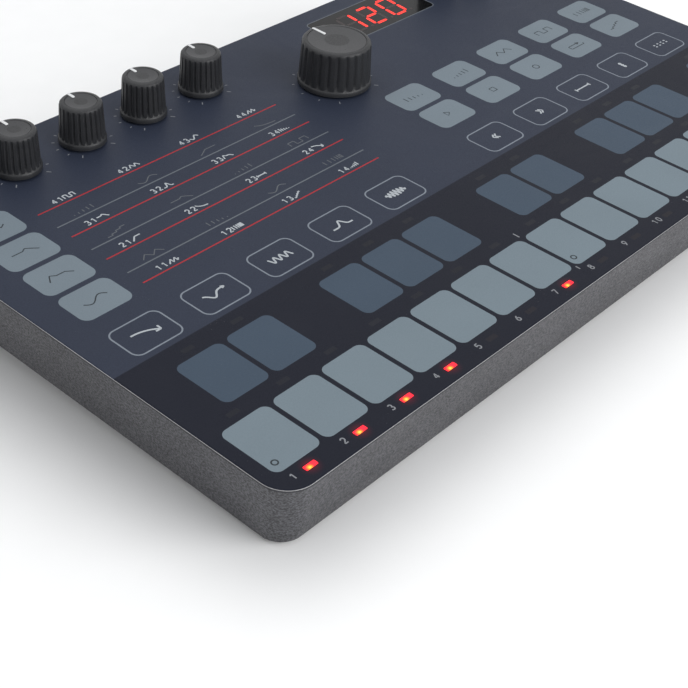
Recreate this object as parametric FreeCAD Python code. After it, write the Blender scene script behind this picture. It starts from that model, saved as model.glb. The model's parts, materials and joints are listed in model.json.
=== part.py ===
"""Portable touch-panel synthesizer: a shallow flared case under a flat printed panel, with a row of knobs.

Frame: millimetres, +X to the player's right, +Y to the rear, +Z up.
The origin is on the resting surface, under the middle of the whole outline.
The pieces are drawn with the panel level and z = 0 at the lower edge of the case's walls,
and stand() then tilts everything by TILT and sets it on its feet.
Every piece is one named STEP file; identical pieces share a file as a group of separate solids.
"""

import FreeCAD, Part

import math
import os

V = FreeCAD.Vector

# Case
CASE_WIDTH = 256.0
CASE_DEPTH = 150.0
PANEL_TOP = 26.5          # panel face above the lower edge of the walls
TILT = 4.0                # degrees, rear up
SIDE_INSET = 7.8          # how far side and front walls lean in at the bottom
REAR_INSET = 1.5          # the rear wall is nearly upright, for the sockets
CORNER_RADIUS = 7.6
FOOT_CORNER_RADIUS = 6.2  # corner radius at the lower edge
WALL = 2.4
DECK = 2.2                # case deck under the panel

# Panel
PANEL_THICK = 0.8
PANEL_OVERHANG = 0.3      # the panel stands this far past the case's upper edge
PANEL_ROUND = 0.35
INLAY = 0.12              # depth of printed fields in the panel
BASE_GAP = 0.25           # base plate to case wall

# Rows of keys and buttons share the panel's depth, with these gaps from the front edge to the rear
WHITE_FRONT = 6.8
WHITE_TO_DARK = 5.5
DARK_TO_OUTLINED = 7.9
OUTLINED_TO_EDIT = 6.1
EDIT_ROWS = 4
EDIT_GAP = 1.64
EDIT_BACK = 27.78
PAD_GAPS = (EDIT_ROWS - 1) * EDIT_GAP
ROW_GAPS = WHITE_FRONT + WHITE_TO_DARK + DARK_TO_OUTLINED + OUTLINED_TO_EDIT + PAD_GAPS + EDIT_BACK
KEY_LENGTH = 1.5          # in button depths
DARK_SHORTER = 0.2
BUTTON_DEPTH = (CASE_DEPTH - ROW_GAPS + DARK_SHORTER) / (EDIT_ROWS + 1 + 2 * KEY_LENGTH)

# The row of keys shares the panel's width
KEY_COUNT = 16
KEY_LEFT = 3.85
KEY_RIGHT = 5.19
KEY_GAP = 1.36
KEY_WIDTH = (CASE_WIDTH - KEY_LEFT - KEY_RIGHT - (KEY_COUNT - 1) * KEY_GAP) / KEY_COUNT
KEY_PITCH = KEY_WIDTH + KEY_GAP
WHITE_SIZE = (KEY_WIDTH, KEY_LENGTH * BUTTON_DEPTH)
DARK_GAP = 1.42
DARK_SIZE = (KEY_PITCH - DARK_GAP, WHITE_SIZE[1] - DARK_SHORTER)
DARK_FRONT = WHITE_FRONT + WHITE_SIZE[1] + WHITE_TO_DARK
DARK_SHIFT = 0.21         # dark keys stand this far right of half way
DARK_AFTER = (0, 1, 3, 4, 5)   # white keys of an octave that a dark key follows
OCTAVE = 7
KEY_CORNER = 2.1

# Buttons and knobs stand in columns that share the panel's width
COLUMN_COUNT = 11
COLUMN_LEFT = 16.1
COLUMN_RIGHT = 19.3
COLUMN_PITCH = (CASE_WIDTH - COLUMN_LEFT - COLUMN_RIGHT) / (COLUMN_COUNT - 1)
OUTLINED_ROW = DARK_FRONT + DARK_SIZE[1] + DARK_TO_OUTLINED + BUTTON_DEPTH / 2
OUTLINED_COLUMNS = (0, 1, 2, 3, 4, 6, 7, 8, 9, 10)
EDIT_FRONT = OUTLINED_ROW + BUTTON_DEPTH + OUTLINED_TO_EDIT
EDIT_PITCH = BUTTON_DEPTH + EDIT_GAP
FUNCTION_COLUMNS = (6, 7, 8, 9, 10)
FUNCTION_ROWS = 2
BUTTON_SIDE_GAP = 6.76
BUTTON_SIZE = (COLUMN_PITCH - BUTTON_SIDE_GAP, BUTTON_DEPTH)
BUTTON_CORNER = 2.5
OUTLINE_WIDTH = 0.42

# Lights
LIGHT_SIZE = (3.5, 1.45)
LIGHT_RADIUS = 0.25
STEP_LIGHT_ROW = 3.95
LIGHT_TO_KEY = 2.8        # key lights from their dark key's ends
WHITE_LIGHT_ROW = DARK_FRONT - LIGHT_TO_KEY
DARK_LIGHT_ROW = DARK_FRONT + DARK_SIZE[1] + LIGHT_TO_KEY
LIGHT_GAP = 0.15
LED_SIZE = (2.0, 1.1, 0.8)

# Knobs
KNOB_BACK = 15.5          # knob row from the rear edge
SMALL_KNOB_RADIUS = 6.6
SMALL_KNOB_HEIGHT = 12.3
CUTOFF_KNOB_RADIUS = 11.0
CUTOFF_KNOB_HEIGHT = 13.9
CUTOFF_COLUMN = 5.5
CUTOFF_BACK = 38.0
KNOB_GAP = 0.7            # knob skirt above the panel
KNOB_TAPER = 0.45
KNOB_CAP = 3.0            # solid top over the shaft
KNOB_EDGE = 0.6
GRIP_FLUTES = 24
FLUTE_RADIUS = 0.5
POINTER_WIDTH = 1.0
POINTER_DEPTH = 0.3
SHAFT_RADIUS = 3.0
SHAFT_FLAT = 2.1          # the flat lies this far from the shaft's axis
SHAFT_RUNNING_GAP = 0.05
SHAFT_HOLE_GAP = 0.6      # board, deck and panel clear the shaft by this much
SHAFT_SEAT = 0.3          # under the foot of a shaft or of the encoder's plunger
PUSH_TRAVEL = 0.5
PLUNGER = (2.7, 0.9)      # radius and thickness of the encoder's plunger
POT_SIZE = (11.0, 12.0, 6.4)
POT_FLOOR = 1.2

# Display
DISPLAY_COLUMN = 7.45
DISPLAY_SIZE = (2 * COLUMN_PITCH, 17.0)
DISPLAY_CORNER = 1.6
DISPLAY_FRAME = 1.4       # module inside its window

# Boards
BOARD = 1.6
BOARD_TO_DECK = 0.1       # filled by the touch electrodes
CONTROL_BOARD_MARGIN = 5.75
CONTROL_SCREW_SIDE = 9.5  # outer screws from the panel's sides
CONTROL_SCREW_BACK = 9.0
MAIN_BOARD_HEIGHT = 3.5   # above the base plate's face
MAIN_BOARD_SIZE = (74.0, 44.0)
MAIN_BOARD_LEFT = 25.0    # from the case's left
MAIN_BOARD_BACK = 8.0     # from the case's rear
MAIN_SCREW_INSET = (6.0, 3.6)
MAIN_SCREW_BACK = 17.0    # rear screws stay in front of the sockets
STANDOFF_RADIUS = 3.0
BOARD_SCREW_RADIUS = 1.1
BOARD_SCREW_HEAD = (2.2, 1.3)
SCREW_CLEARANCE = 0.2
SCREW_SLOT = 0.5
PAD_INSET = 1.6           # electrodes are this much smaller than their fields
PAD_CORNER = 1.1
CHIP = 1.3
CONTROL_CHIPS = (10.0, 7.0, 7.0, 10.0, 8.0)
MAIN_CHIPS = (8.0, 7.0, 7.0, 6.0)
CHIP_ROW = 13.0           # chips from the main board's front edge
CAPACITOR = (2.5, 7.0)
CAPACITOR_COUNT = 5
LINK_SIZE = (20.0, 3.0, 3.0)
LINK_FRONT = 3.0          # link connectors from the main board's front edge
LINK_CABLE = (19.0, 0.4)
LINK_SLACK = 2.2

# Base plate with its deeper rear part, feet and case screws
BASE_THICK = 2.4
HUMP_DROP = 4.5           # the rear part reaches this far below the walls
HUMP_SIDE = 22.0          # from the case's sides
HUMP_CORNER = 6.0
HUMP_TO_BAY = 2.0
FRONT_FOOT_HEIGHT = 2.0
FOOT_RADIUS = 6.0
FOOT_SIDE = 30.0
FOOT_FRONT = 19.0
FOOT_BACK = 16.0
BOSS_RADIUS = 3.4
BOSS_TOP = 15.0
BOSS_RIB = 2.0
BOSS_SIDE = 15.6          # side bosses from the case's sides
BOSS_FRONT = 45.0
BOSS_BACK = 33.0
FRONT_BOSS_SIDE = 78.0
FRONT_BOSS_FRONT = 16.0
CASE_SCREW_RADIUS = 1.4
CASE_SCREW_LENGTH = 10.0  # in the boss
CASE_SCREW_HEAD = (2.6, 1.4)

# Battery bay: four AA cells side by side, with a door that slides out at the rear
CELL_RADIUS = 7.2
CELL_LENGTH = 49.2
CELL_TIP = (2.6, 1.3)
CELL_COUNT = 4
CELL_GAP = 0.5
BAY_WALL = 1.5
BAY_TO_BOARD = 1.1
BAY_BACK = 7.6            # bay from the case's rear
CONTACT_THICK = 0.5
CONTACT_SPRING = 2.2
CONTACT_SIZE = (10.0, 11.0)
LEAF_THICK = 0.35
LEAF_WIDTH = 3.0
DOOR_THICK = 1.8
DOOR_GAP = 0.25
DOOR_LIP = 1.2
DOOR_LIP_THICK = 0.8
DOOR_OVERLAP = 1.5        # door past the bay on its sides and front
DOOR_GROOVES = 9
GROOVE_SIZE = (24.0, 0.8, 0.5)
GROOVE_PITCH = 1.6

# Rear sockets, from the main board's right edge
SOCKET_BODY = (9.0, 13.0)
COLLAR_RADIUS = 3.6
COLLAR_PROUD = 0.6
COLLAR_GAP = 0.2
LARGE_BORE = 1.85
SMALL_BORE = 1.35
BORE_LENGTH = 14.0
SOCKET_RIGHT = {"audio_out_jack": 40.5, "audio_in_jack": 29.0, "midi_out_jack": 17.5, "midi_in_jack": 6.0}
USB_RIGHT = 53.0
USB_SIZE = (9.0, 7.5, 3.4)
USB_WALL = 0.4
USB_TONGUE = (5.2, 0.7)
SWITCH_RIGHT = 67.0
SWITCH_SIZE = (12.0, 6.0, 5.0)
SLIDER_SIZE = (3.6, 2.6)
SLIDER_SEAT = 2.0         # slider's depth in its can
SLIDER_PROUD = 1.2
SLIDER_TRAVEL = 3.0
SLOT_GAP = 0.4
REAR_GAP = 0.4            # socket bodies and switch to the rear wall

# Heights that follow
DECK_TOP = PANEL_TOP - PANEL_THICK
DECK_UNDER = DECK_TOP - DECK
CONTROL_TOP = DECK_UNDER - BOARD_TO_DECK
CONTROL_UNDER = CONTROL_TOP - BOARD
MAIN_UNDER = BASE_THICK + MAIN_BOARD_HEIGHT
USB_HEIGHT = MAIN_UNDER + BOARD + USB_SIZE[2] / 2
MAIN_TOP = MAIN_UNDER + BOARD
SOCKET_HEIGHT = MAIN_TOP + COLLAR_RADIUS
SLIDER_HEIGHT = MAIN_TOP + SWITCH_SIZE[2] / 2


def rear_face(z):
    """Y of the rear wall's outer face at height z."""
    return CASE_DEPTH / 2 - PANEL_OVERHANG - REAR_INSET * (DECK_TOP - z) / DECK_TOP


BASE_REAR = rear_face(0.0) - WALL - BASE_GAP
LEAN = math.radians(TILT)
LIFT = FRONT_FOOT_HEIGHT + (CASE_DEPTH / 2 - FOOT_FRONT) * math.sin(LEAN)
FRONT_REACH = CASE_DEPTH / 2 * math.cos(LEAN) + (PANEL_TOP - PANEL_ROUND) * math.sin(LEAN)
SLIDER_TIP = rear_face(SLIDER_HEIGHT) + SLIDER_PROUD
REAR_REACH = SLIDER_TIP * math.cos(LEAN) - (SLIDER_HEIGHT - SLIDER_SIZE[1] / 2) * math.sin(LEAN)
SHIFT = (FRONT_REACH - REAR_REACH) / 2


def stand(shape):
    """A piece as it stands: tilted, rear up, with the feet on z = 0 and the outline's middle on y = 0."""
    placed = shape.copy()
    placed.rotate(V(0, 0, 0), V(1, 0, 0), TILT)
    placed.translate(V(0, SHIFT, LIFT))
    return placed


def ground():
    """The space below the resting surface, in the level frame."""
    w, d = CASE_WIDTH, CASE_DEPTH
    space = Part.makeBox(2 * w, 2 * d, d, V(-w, -d, -d))
    space.translate(V(0, -SHIFT, -LIFT))
    space.rotate(V(0, 0, 0), V(1, 0, 0), -TILT)
    return space


def across(u):
    """X of a distance from the panel's left edge."""
    return u - CASE_WIDTH / 2


def back(v):
    """Y of a distance from the panel's front edge."""
    return v - CASE_DEPTH / 2


def column(k):
    """X of a button or knob column."""
    return across(COLUMN_LEFT + k * COLUMN_PITCH)


def box(x0, x1, y0, y1, z0, z1):
    """A box between two corners."""
    return Part.makeBox(x1 - x0, y1 - y0, z1 - z0, V(x0, y0, z0))


def block(x, y, z0, size):
    """A box centred in plan on x, y, standing on z0."""
    return box(x - size[0] / 2, x + size[0] / 2, y - size[1] / 2, y + size[1] / 2, z0, z0 + size[2])


def rod(x, y, z0, z1, radius):
    """An upright cylinder."""
    return Part.makeCylinder(radius, z1 - z0, V(x, y, z0))


def rounded_wire(x0, x1, y0, y1, radius, z):
    """A rectangle with arc corners, at height z."""
    s = radius * (1 - math.sqrt(0.5))
    corners = [(x1, y0, 1, -1), (x1, y1, 1, 1), (x0, y1, -1, 1), (x0, y0, -1, -1)]
    ends = []
    for x, y, sx, sy in corners:
        along_x = V(x - sx * radius, y, z)
        along_y = V(x, y - sy * radius, z)
        middle = V(x - sx * s, y - sy * s, z)
        ends.append((along_x, middle, along_y) if sx * sy < 0 else (along_y, middle, along_x))
    edges = []
    for i, (start, middle, end) in enumerate(ends):
        edges.append(Part.Arc(start, middle, end).toShape())
        edges.append(Part.LineSegment(end, ends[(i + 1) % 4][0]).toShape())
    return Part.Wire(edges)


def rounded_slab(x0, x1, y0, y1, radius, z0, z1):
    """A rounded rectangle extruded from z0 to z1."""
    face = Part.Face(rounded_wire(x0, x1, y0, y1, radius, z0))
    return face.extrude(V(0, 0, z1 - z0))


def field(x, y, size, radius, z0, z1):
    """A rounded slab centred in plan on x, y."""
    w, d = size[0] / 2, size[1] / 2
    return rounded_slab(x - w, x + w, y - d, y + d, radius, z0, z1)


def case_outline(z, shrink=0.0):
    """The case's outline at height z, taken in by shrink."""
    t = (DECK_TOP - z) / DECK_TOP
    side = CASE_WIDTH / 2 - PANEL_OVERHANG - SIDE_INSET * t - shrink
    front = -CASE_DEPTH / 2 + PANEL_OVERHANG + SIDE_INSET * t + shrink
    rear = rear_face(z) - shrink
    radius = CORNER_RADIUS + (FOOT_CORNER_RADIUS - CORNER_RADIUS) * t - shrink
    return rounded_wire(-side, side, front, rear, radius, z)


def case_block(z0, z1, shrink=0.0):
    """The tapering body between two heights."""
    return Part.makeLoft([case_outline(z0, shrink), case_outline(z1, shrink)], True, True)


# Places of the repeated pieces

def white_keys():
    """Centres of the white keys."""
    left = across(KEY_LEFT) + WHITE_SIZE[0] / 2
    y = back(WHITE_FRONT) + WHITE_SIZE[1] / 2
    return [(left + i * KEY_PITCH, y) for i in range(KEY_COUNT)]


def dark_keys():
    """Centres of the dark keys."""
    left = across(KEY_LEFT) + KEY_PITCH / 2 + DARK_SHIFT + DARK_SIZE[0] / 2
    y = back(DARK_FRONT) + DARK_SIZE[1] / 2
    return [(left + i * KEY_PITCH, y) for i in range(KEY_COUNT - 1) if i % OCTAVE in DARK_AFTER]


def edit_row(r):
    """Y of an edit row, counted from the front."""
    return back(EDIT_FRONT + r * EDIT_PITCH)


def edit_buttons():
    """Centres of the pale buttons in the first column."""
    return [(column(0), edit_row(r)) for r in range(EDIT_ROWS)]


def function_buttons():
    """Centres of the pale buttons in the block at the right."""
    return [(column(k), edit_row(r)) for r in range(FUNCTION_ROWS) for k in FUNCTION_COLUMNS]


def outlined_buttons():
    """Centres of the buttons that are printed as outlines."""
    return [(column(k), back(OUTLINED_ROW)) for k in OUTLINED_COLUMNS]


def step_lights():
    """Centres of the lights in front of the white keys."""
    return [(x, back(STEP_LIGHT_ROW)) for x, _ in white_keys()]


def key_lights():
    """Centres of the lights behind every key."""
    white = [(x, back(WHITE_LIGHT_ROW)) for x, _ in white_keys()]
    return white + [(x, back(DARK_LIGHT_ROW)) for x, _ in dark_keys()]


def knob_places():
    """Each knob's centre, radius and height."""
    y = back(CASE_DEPTH - KNOB_BACK)
    small = {"volume": 0, "edit_1": 1, "edit_2": 2, "edit_3": 3, "edit_4": 4, "data": 9, "tempo": 10}
    places = {name: (column(k), y, SMALL_KNOB_RADIUS, SMALL_KNOB_HEIGHT) for name, k in small.items()}
    cutoff_y = back(CASE_DEPTH - CUTOFF_BACK)
    places["cutoff"] = (column(CUTOFF_COLUMN), cutoff_y, CUTOFF_KNOB_RADIUS, CUTOFF_KNOB_HEIGHT)
    return places


ENCODER = "data"
KNOBS = knob_places()
DISPLAY_PLACE = (column(DISPLAY_COLUMN), back(CASE_DEPTH - KNOB_BACK))


def side_bosses():
    """Places of the screw bosses beside the side walls."""
    x = CASE_WIDTH / 2 - BOSS_SIDE
    return [(sx * x, y) for sx in (-1, 1) for y in (back(BOSS_FRONT), back(CASE_DEPTH - BOSS_BACK))]


def front_bosses():
    """Places of the screw bosses beside the front wall."""
    x = CASE_WIDTH / 2 - FRONT_BOSS_SIDE
    return [(-x, back(FRONT_BOSS_FRONT)), (x, back(FRONT_BOSS_FRONT))]


def control_screws():
    """Places of the screws that hold the control board to the deck."""
    side = CASE_WIDTH / 2 - CONTROL_SCREW_SIDE
    middle = back((OUTLINED_ROW + EDIT_FRONT) / 2)
    rear = back(CASE_DEPTH - CONTROL_SCREW_BACK)
    front_row = [(x, middle) for x in (-side, column(5), side)]
    return front_row + [(column(k), rear) for k in (1.5, 5, 8.6)]


def group(shapes):
    """Several separate solids in one node."""
    return Part.makeCompound(shapes)


def less(shape, cutters):
    """A shape with every cutter taken away at once."""
    return shape.cut(Part.makeCompound(cutters)) if cutters else shape


# Housing

def rear_hole(x, z, w, h):
    """A rectangular cutter through the rear wall, centred on x, z."""
    y = rear_face(z)
    return box(x - w / 2, x + w / 2, y - 2 * WALL, y + WALL, z - h / 2, z + h / 2)


def rear_cutters():
    """Holes of the rear wall for the sockets and the power switch."""
    y = rear_face(SOCKET_HEIGHT) - 2 * WALL
    radius = COLLAR_RADIUS + COLLAR_GAP
    cuts = []
    for right in SOCKET_RIGHT.values():
        cuts.append(Part.makeCylinder(radius, 3 * WALL, V(on_board(right), y, SOCKET_HEIGHT), V(0, 1, 0)))
    w, _, h = USB_SIZE
    cuts.append(rear_hole(on_board(USB_RIGHT), USB_HEIGHT, w + 2 * COLLAR_GAP, h + 2 * COLLAR_GAP))
    w, h = SLIDER_SIZE
    slot = w + SLIDER_TRAVEL + 2 * SLOT_GAP
    cuts.append(rear_hole(on_board(SWITCH_RIGHT), SLIDER_HEIGHT, slot, h + 2 * SLOT_GAP))
    return cuts


def bosses():
    """Screw bosses, each joined to the nearest wall by a rib."""
    room = case_block(0.0, DECK_TOP, WALL / 2)
    shapes = [rod(x, y, BASE_THICK, BOSS_TOP, BOSS_RADIUS) for x, y in side_bosses() + front_bosses()]
    half = BOSS_RIB / 2
    for x, y in side_bosses():
        wall = math.copysign(CASE_WIDTH / 2, x)
        shapes.append(box(min(x, wall), max(x, wall), y - half, y + half, BASE_THICK, BOSS_TOP))
    for x, y in front_bosses():
        shapes.append(box(x - half, x + half, -CASE_DEPTH / 2, y, BASE_THICK, BOSS_TOP))
    return [shape.common(room) for shape in shapes]


def top_case():
    """The upper shell: deck, leaning walls, and bosses for the case screws."""
    shell = case_block(0.0, DECK_TOP).cut(case_block(-1.0, DECK_UNDER, WALL))
    shell = shell.fuse(bosses())
    depth = BASE_THICK + CASE_SCREW_LENGTH
    cuts = [rod(x, y, 0.0, depth, CASE_SCREW_RADIUS) for x, y in side_bosses() + front_bosses()]
    z0, z1 = DECK_UNDER - 1.0, DECK_TOP + 1.0
    cuts += [rod(x, y, z0, screw_tip() + 0.1, BOARD_SCREW_RADIUS) for x, y in control_screws()]
    cuts += [field(x, y, light_hole(), LIGHT_RADIUS, z0, z1) for x, y in step_lights() + key_lights()]
    cuts += [rod(x, y, z0, z1, SHAFT_RADIUS + SHAFT_HOLE_GAP) for x, y, _, _ in KNOBS.values()]
    cuts.append(field(*DISPLAY_PLACE, DISPLAY_SIZE, DISPLAY_CORNER, z0, z1))
    return less(shell, cuts + rear_cutters()).removeSplitter()


def screw_tip():
    """Height of the control screws' tips in the deck."""
    return DECK_UNDER + DECK * 0.75


def light_hole():
    """Plan size of a light's slot in the deck."""
    return (LIGHT_SIZE[0] + 2 * LIGHT_GAP, LIGHT_SIZE[1] + 2 * LIGHT_GAP)


def front_panel():
    """The flat printed panel, with pockets for its fields and holes for lights, shafts and the display."""
    w, d = CASE_WIDTH / 2, CASE_DEPTH / 2
    plate = rounded_slab(-w, w, -d, d, CORNER_RADIUS, DECK_TOP, PANEL_TOP)
    rim = [e for e in plate.Edges if e.BoundBox.ZMin > PANEL_TOP - 0.01]
    plate = plate.makeFillet(PANEL_ROUND, rim)
    z0, z1 = PANEL_TOP - INLAY, PANEL_TOP + 1.0
    cuts = [field(x, y, WHITE_SIZE, KEY_CORNER, z0, z1) for x, y in white_keys()]
    cuts += [field(x, y, DARK_SIZE, KEY_CORNER, z0, z1) for x, y in dark_keys()]
    cuts += [field(x, y, BUTTON_SIZE, BUTTON_CORNER, z0, z1) for x, y in edit_buttons() + function_buttons()]
    cuts += [outline(x, y, z0, z1) for x, y in outlined_buttons()]
    low = DECK_TOP - 1.0
    cuts += [field(x, y, LIGHT_SIZE, LIGHT_RADIUS, low, z1) for x, y in step_lights() + key_lights()]
    cuts += [rod(x, y, low, z1, SHAFT_RADIUS + SHAFT_HOLE_GAP) for x, y, _, _ in KNOBS.values()]
    cuts.append(field(*DISPLAY_PLACE, DISPLAY_SIZE, DISPLAY_CORNER, low, z1))
    return less(plate, cuts)


def outline(x, y, z0, z1):
    """The ring of an outlined button."""
    inner = (BUTTON_SIZE[0] - 2 * OUTLINE_WIDTH, BUTTON_SIZE[1] - 2 * OUTLINE_WIDTH)
    ring = field(x, y, BUTTON_SIZE, BUTTON_CORNER, z0, z1)
    return ring.cut(field(x, y, inner, BUTTON_CORNER - OUTLINE_WIDTH, z0 - 1.0, z1 + 1.0))


def inlays(places, size, radius):
    """Printed fields that fill the panel's pockets."""
    return group([field(x, y, size, radius, PANEL_TOP - INLAY, PANEL_TOP) for x, y in places])


def light_windows(places):
    """Light guides: flush in the panel, with a foot in the deck's slot just above the lamp."""
    z0 = CONTROL_TOP + LED_SIZE[2] + LIGHT_GAP
    return group([field(x, y, LIGHT_SIZE, LIGHT_RADIUS, z0, PANEL_TOP) for x, y in places])


def lamps(places):
    """Lamps on the control board, one under each window."""
    return group([block(x, y, CONTROL_TOP, LED_SIZE) for x, y in places])


def bay_size():
    """Inner size of the battery bay."""
    width = 2 * CELL_RADIUS * CELL_COUNT + CELL_GAP * (CELL_COUNT + 1)
    return width, CELL_LENGTH + CELL_TIP[1] + 2 * (CONTACT_THICK + CONTACT_SPRING)


def bay_box(grow=0.0):
    """The battery bay's limits in plan, grown on every side; it lies right of the main board."""
    w, d = bay_size()
    left = DOOR_OVERLAP + DOOR_LIP + DOOR_GAP + BAY_WALL + BAY_TO_BOARD
    x0 = main_board_box()[1] + left
    y1 = CASE_DEPTH / 2 - BAY_BACK
    return x0 - grow, x0 + w + grow, y1 - d - grow, y1 + grow


def door_box():
    """The battery door's limits in plan; it reaches the base plate's rear edge."""
    x0, x1, y0, _ = bay_box(DOOR_OVERLAP)
    return x0, x1, y0, BASE_REAR


def cell_floor():
    """Height on which the cells lie, just above the door."""
    return -HUMP_DROP + DOOR_THICK + 2 * DOOR_GAP


def base_shell():
    """The base plate with its hollow, deeper rear part."""
    plate = Part.Face(case_outline(0.0, WALL + BASE_GAP)).extrude(V(0, 0, BASE_THICK))
    w, y0, y1 = CASE_WIDTH / 2 - HUMP_SIDE, hump_front(), BASE_REAR
    hump = rounded_slab(-w, w, y0, y1, HUMP_CORNER, -HUMP_DROP, BASE_THICK)
    t = BASE_THICK
    top = BASE_THICK + 1.0
    hollow = rounded_slab(-w + t, w - t, y0 + t, y1 - t, HUMP_CORNER - t, -HUMP_DROP + t, top)
    return plate.fuse(hump).cut(hollow)


def hump_front():
    """Y of the front of the base plate's deeper part."""
    return bay_box(BAY_WALL)[2] - HUMP_TO_BAY


def base_plate():
    """The lower cover, with the battery bay, the door's channel, standoffs and screw holes."""
    door_top = -HUMP_DROP + DOOR_THICK + DOOR_GAP
    dx0, dx1, dy0, dy1 = door_box()
    lip = DOOR_LIP + DOOR_GAP
    bx0, bx1, by0, by1 = bay_box(BAY_WALL)
    roof = cell_floor() + 2 * CELL_RADIUS + CELL_GAP + BAY_WALL
    side = lip + BAY_WALL
    tray = box(dx0 - side, dx1 + side, hump_front() + 1.0, dy1 - 1.0, -HUMP_DROP, door_top + BAY_WALL)
    bay = box(bx0, bx1, by0, by1, -HUMP_DROP, roof)
    posts = [rod(x, y, -HUMP_DROP, MAIN_UNDER, STANDOFF_RADIUS) for x, y in main_board_screws()]
    plate = base_shell().fuse([tray, bay] + posts)
    ix0, ix1, iy0, iy1 = bay_box()
    below = -HUMP_DROP - 1.0
    cuts = [box(ix0, ix1, iy0, iy1, below, roof - BAY_WALL)]
    cuts.append(box(dx0 - DOOR_GAP, dx1 + DOOR_GAP, dy0 - DOOR_GAP, dy1 + 1.0, below, door_top))
    z0 = door_top - 2 * DOOR_GAP - DOOR_LIP_THICK
    cuts.append(box(dx0 - lip, dx1 + lip, dy0 - DOOR_GAP, dy1 + 1.0, z0, door_top))
    head_radius, head_height = CASE_SCREW_HEAD
    for x, y in side_bosses() + front_bosses():
        cuts.append(rod(x, y, -1.0, BASE_THICK + 1.0, CASE_SCREW_RADIUS + SCREW_CLEARANCE))
        cuts.append(rod(x, y, -1.0, head_height, head_radius + SCREW_CLEARANCE))
    low, high = main_screw_tip() - 0.3, MAIN_UNDER + 1.0
    cuts += [rod(x, y, low, high, BOARD_SCREW_RADIUS) for x, y in main_board_screws()]
    return less(plate, cuts).removeSplitter()


def battery_door():
    """The door, with guide lips along both sides and grip grooves underneath near its rear edge."""
    dx0, dx1, dy0, dy1 = door_box()
    top = -HUMP_DROP + DOOR_THICK
    panel = box(dx0, dx1, dy0, dy1, -HUMP_DROP, top)
    lips = box(dx0 - DOOR_LIP, dx1 + DOOR_LIP, dy0, dy1, top - DOOR_LIP_THICK, top)
    door = panel.fuse(lips)
    middle = (dx0 + dx1) / 2
    w, d, h = GROOVE_SIZE
    grooves = []
    for i in range(DOOR_GROOVES):
        y = dy1 - (i + 4) * GROOVE_PITCH
        grooves.append(box(middle - w / 2, middle + w / 2, y, y + d, -HUMP_DROP - 1.0, -HUMP_DROP + h))
    return less(door, grooves).removeSplitter()


def rubber_feet():
    """Four round feet under the base plate, cut level with the resting surface."""
    x = CASE_WIDTH / 2 - FOOT_SIDE
    places = [(sx * x, back(FOOT_FRONT), 0.0) for sx in (-1, 1)]
    places += [(sx * x, back(CASE_DEPTH - FOOT_BACK), -HUMP_DROP) for sx in (-1, 1)]
    deep = 2 * CASE_DEPTH * math.sin(LEAN)
    return group([rod(x, y, z - deep, z, FOOT_RADIUS).cut(ground()) for x, y, z in places])


def screw(x, y, z_head, length, radius, head, up=True):
    """A pan-head screw: its head starts at z_head and the shank runs up, or down."""
    head_radius, head_height = head
    if up:
        body = rod(x, y, z_head, z_head + head_height, head_radius)
        body = body.fuse(rod(x, y, z_head, z_head + head_height + length, radius))
        slot_z = (z_head - 1.0, z_head + head_height / 2)
    else:
        body = rod(x, y, z_head - head_height, z_head, head_radius)
        body = body.fuse(rod(x, y, z_head - head_height - length, z_head, radius))
        slot_z = (z_head - head_height / 2, z_head + 1.0)
    arm = head_radius * 0.6
    half = SCREW_SLOT / 2
    reaches = ((arm, half), (half, arm))
    cross = [box(x - a, x + a, y - b, y + b, *slot_z) for a, b in reaches]
    return less(body, cross).removeSplitter()


def case_screws():
    """Six screws that hold the base plate to the case's bosses."""
    length = BASE_THICK - CASE_SCREW_HEAD[1] + CASE_SCREW_LENGTH - 1.0
    places = side_bosses() + front_bosses()
    return group([screw(x, y, 0.0, length, CASE_SCREW_RADIUS, CASE_SCREW_HEAD) for x, y in places])


# Boards

def control_board():
    """The touch board under the deck."""
    m = CONTROL_BOARD_MARGIN
    w, d = CASE_WIDTH / 2 - m, CASE_DEPTH / 2 - m
    board = rounded_slab(-w, w, -d, d, 3.0, CONTROL_UNDER, CONTROL_TOP)
    z0, z1 = CONTROL_UNDER - 1, CONTROL_TOP + 1
    cuts = [rod(x, y, z0, z1, SHAFT_RADIUS + SHAFT_HOLE_GAP) for x, y, _, _ in KNOBS.values()]
    cuts += [rod(x, y, z0, z1, BOARD_SCREW_RADIUS + SCREW_CLEARANCE) for x, y in control_screws()]
    return less(board, cuts)


def touch_electrodes():
    """Copper fields on the board under every key and button."""
    z0, z1 = CONTROL_TOP, CONTROL_TOP + BOARD_TO_DECK
    buttons = edit_buttons() + function_buttons() + outlined_buttons()
    pads = []
    for places, size in ((white_keys(), WHITE_SIZE), (dark_keys(), DARK_SIZE), (buttons, BUTTON_SIZE)):
        plan = (size[0] - PAD_INSET, size[1] - PAD_INSET)
        pads += [field(x, y, plan, PAD_CORNER, z0, z1) for x, y in places]
    return group(pads)


def control_board_chips():
    """Chips under the control board."""
    row = back(OUTLINED_ROW)
    places = [(column(k), row) for k in (2.2, 4, 7.7, 9.5)] + [(column(2.5), edit_row(1))]
    sizes = CONTROL_CHIPS
    return group([block(x, y, CONTROL_UNDER - CHIP, (s, s, CHIP)) for (x, y), s in zip(places, sizes)])


def board_screws():
    """Screws that hold the control board up against the deck."""
    head = BOARD_SCREW_HEAD
    length = screw_tip() - CONTROL_UNDER
    places = control_screws()
    return group([screw(x, y, CONTROL_UNDER - head[1], length, BOARD_SCREW_RADIUS, head) for x, y in places])


def main_board_box():
    """The main board's limits in plan."""
    x0 = across(MAIN_BOARD_LEFT)
    y1 = CASE_DEPTH / 2 - MAIN_BOARD_BACK
    return x0, x0 + MAIN_BOARD_SIZE[0], y1 - MAIN_BOARD_SIZE[1], y1


def on_board(right):
    """X of a distance from the main board's right edge."""
    return main_board_box()[1] - right


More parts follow.
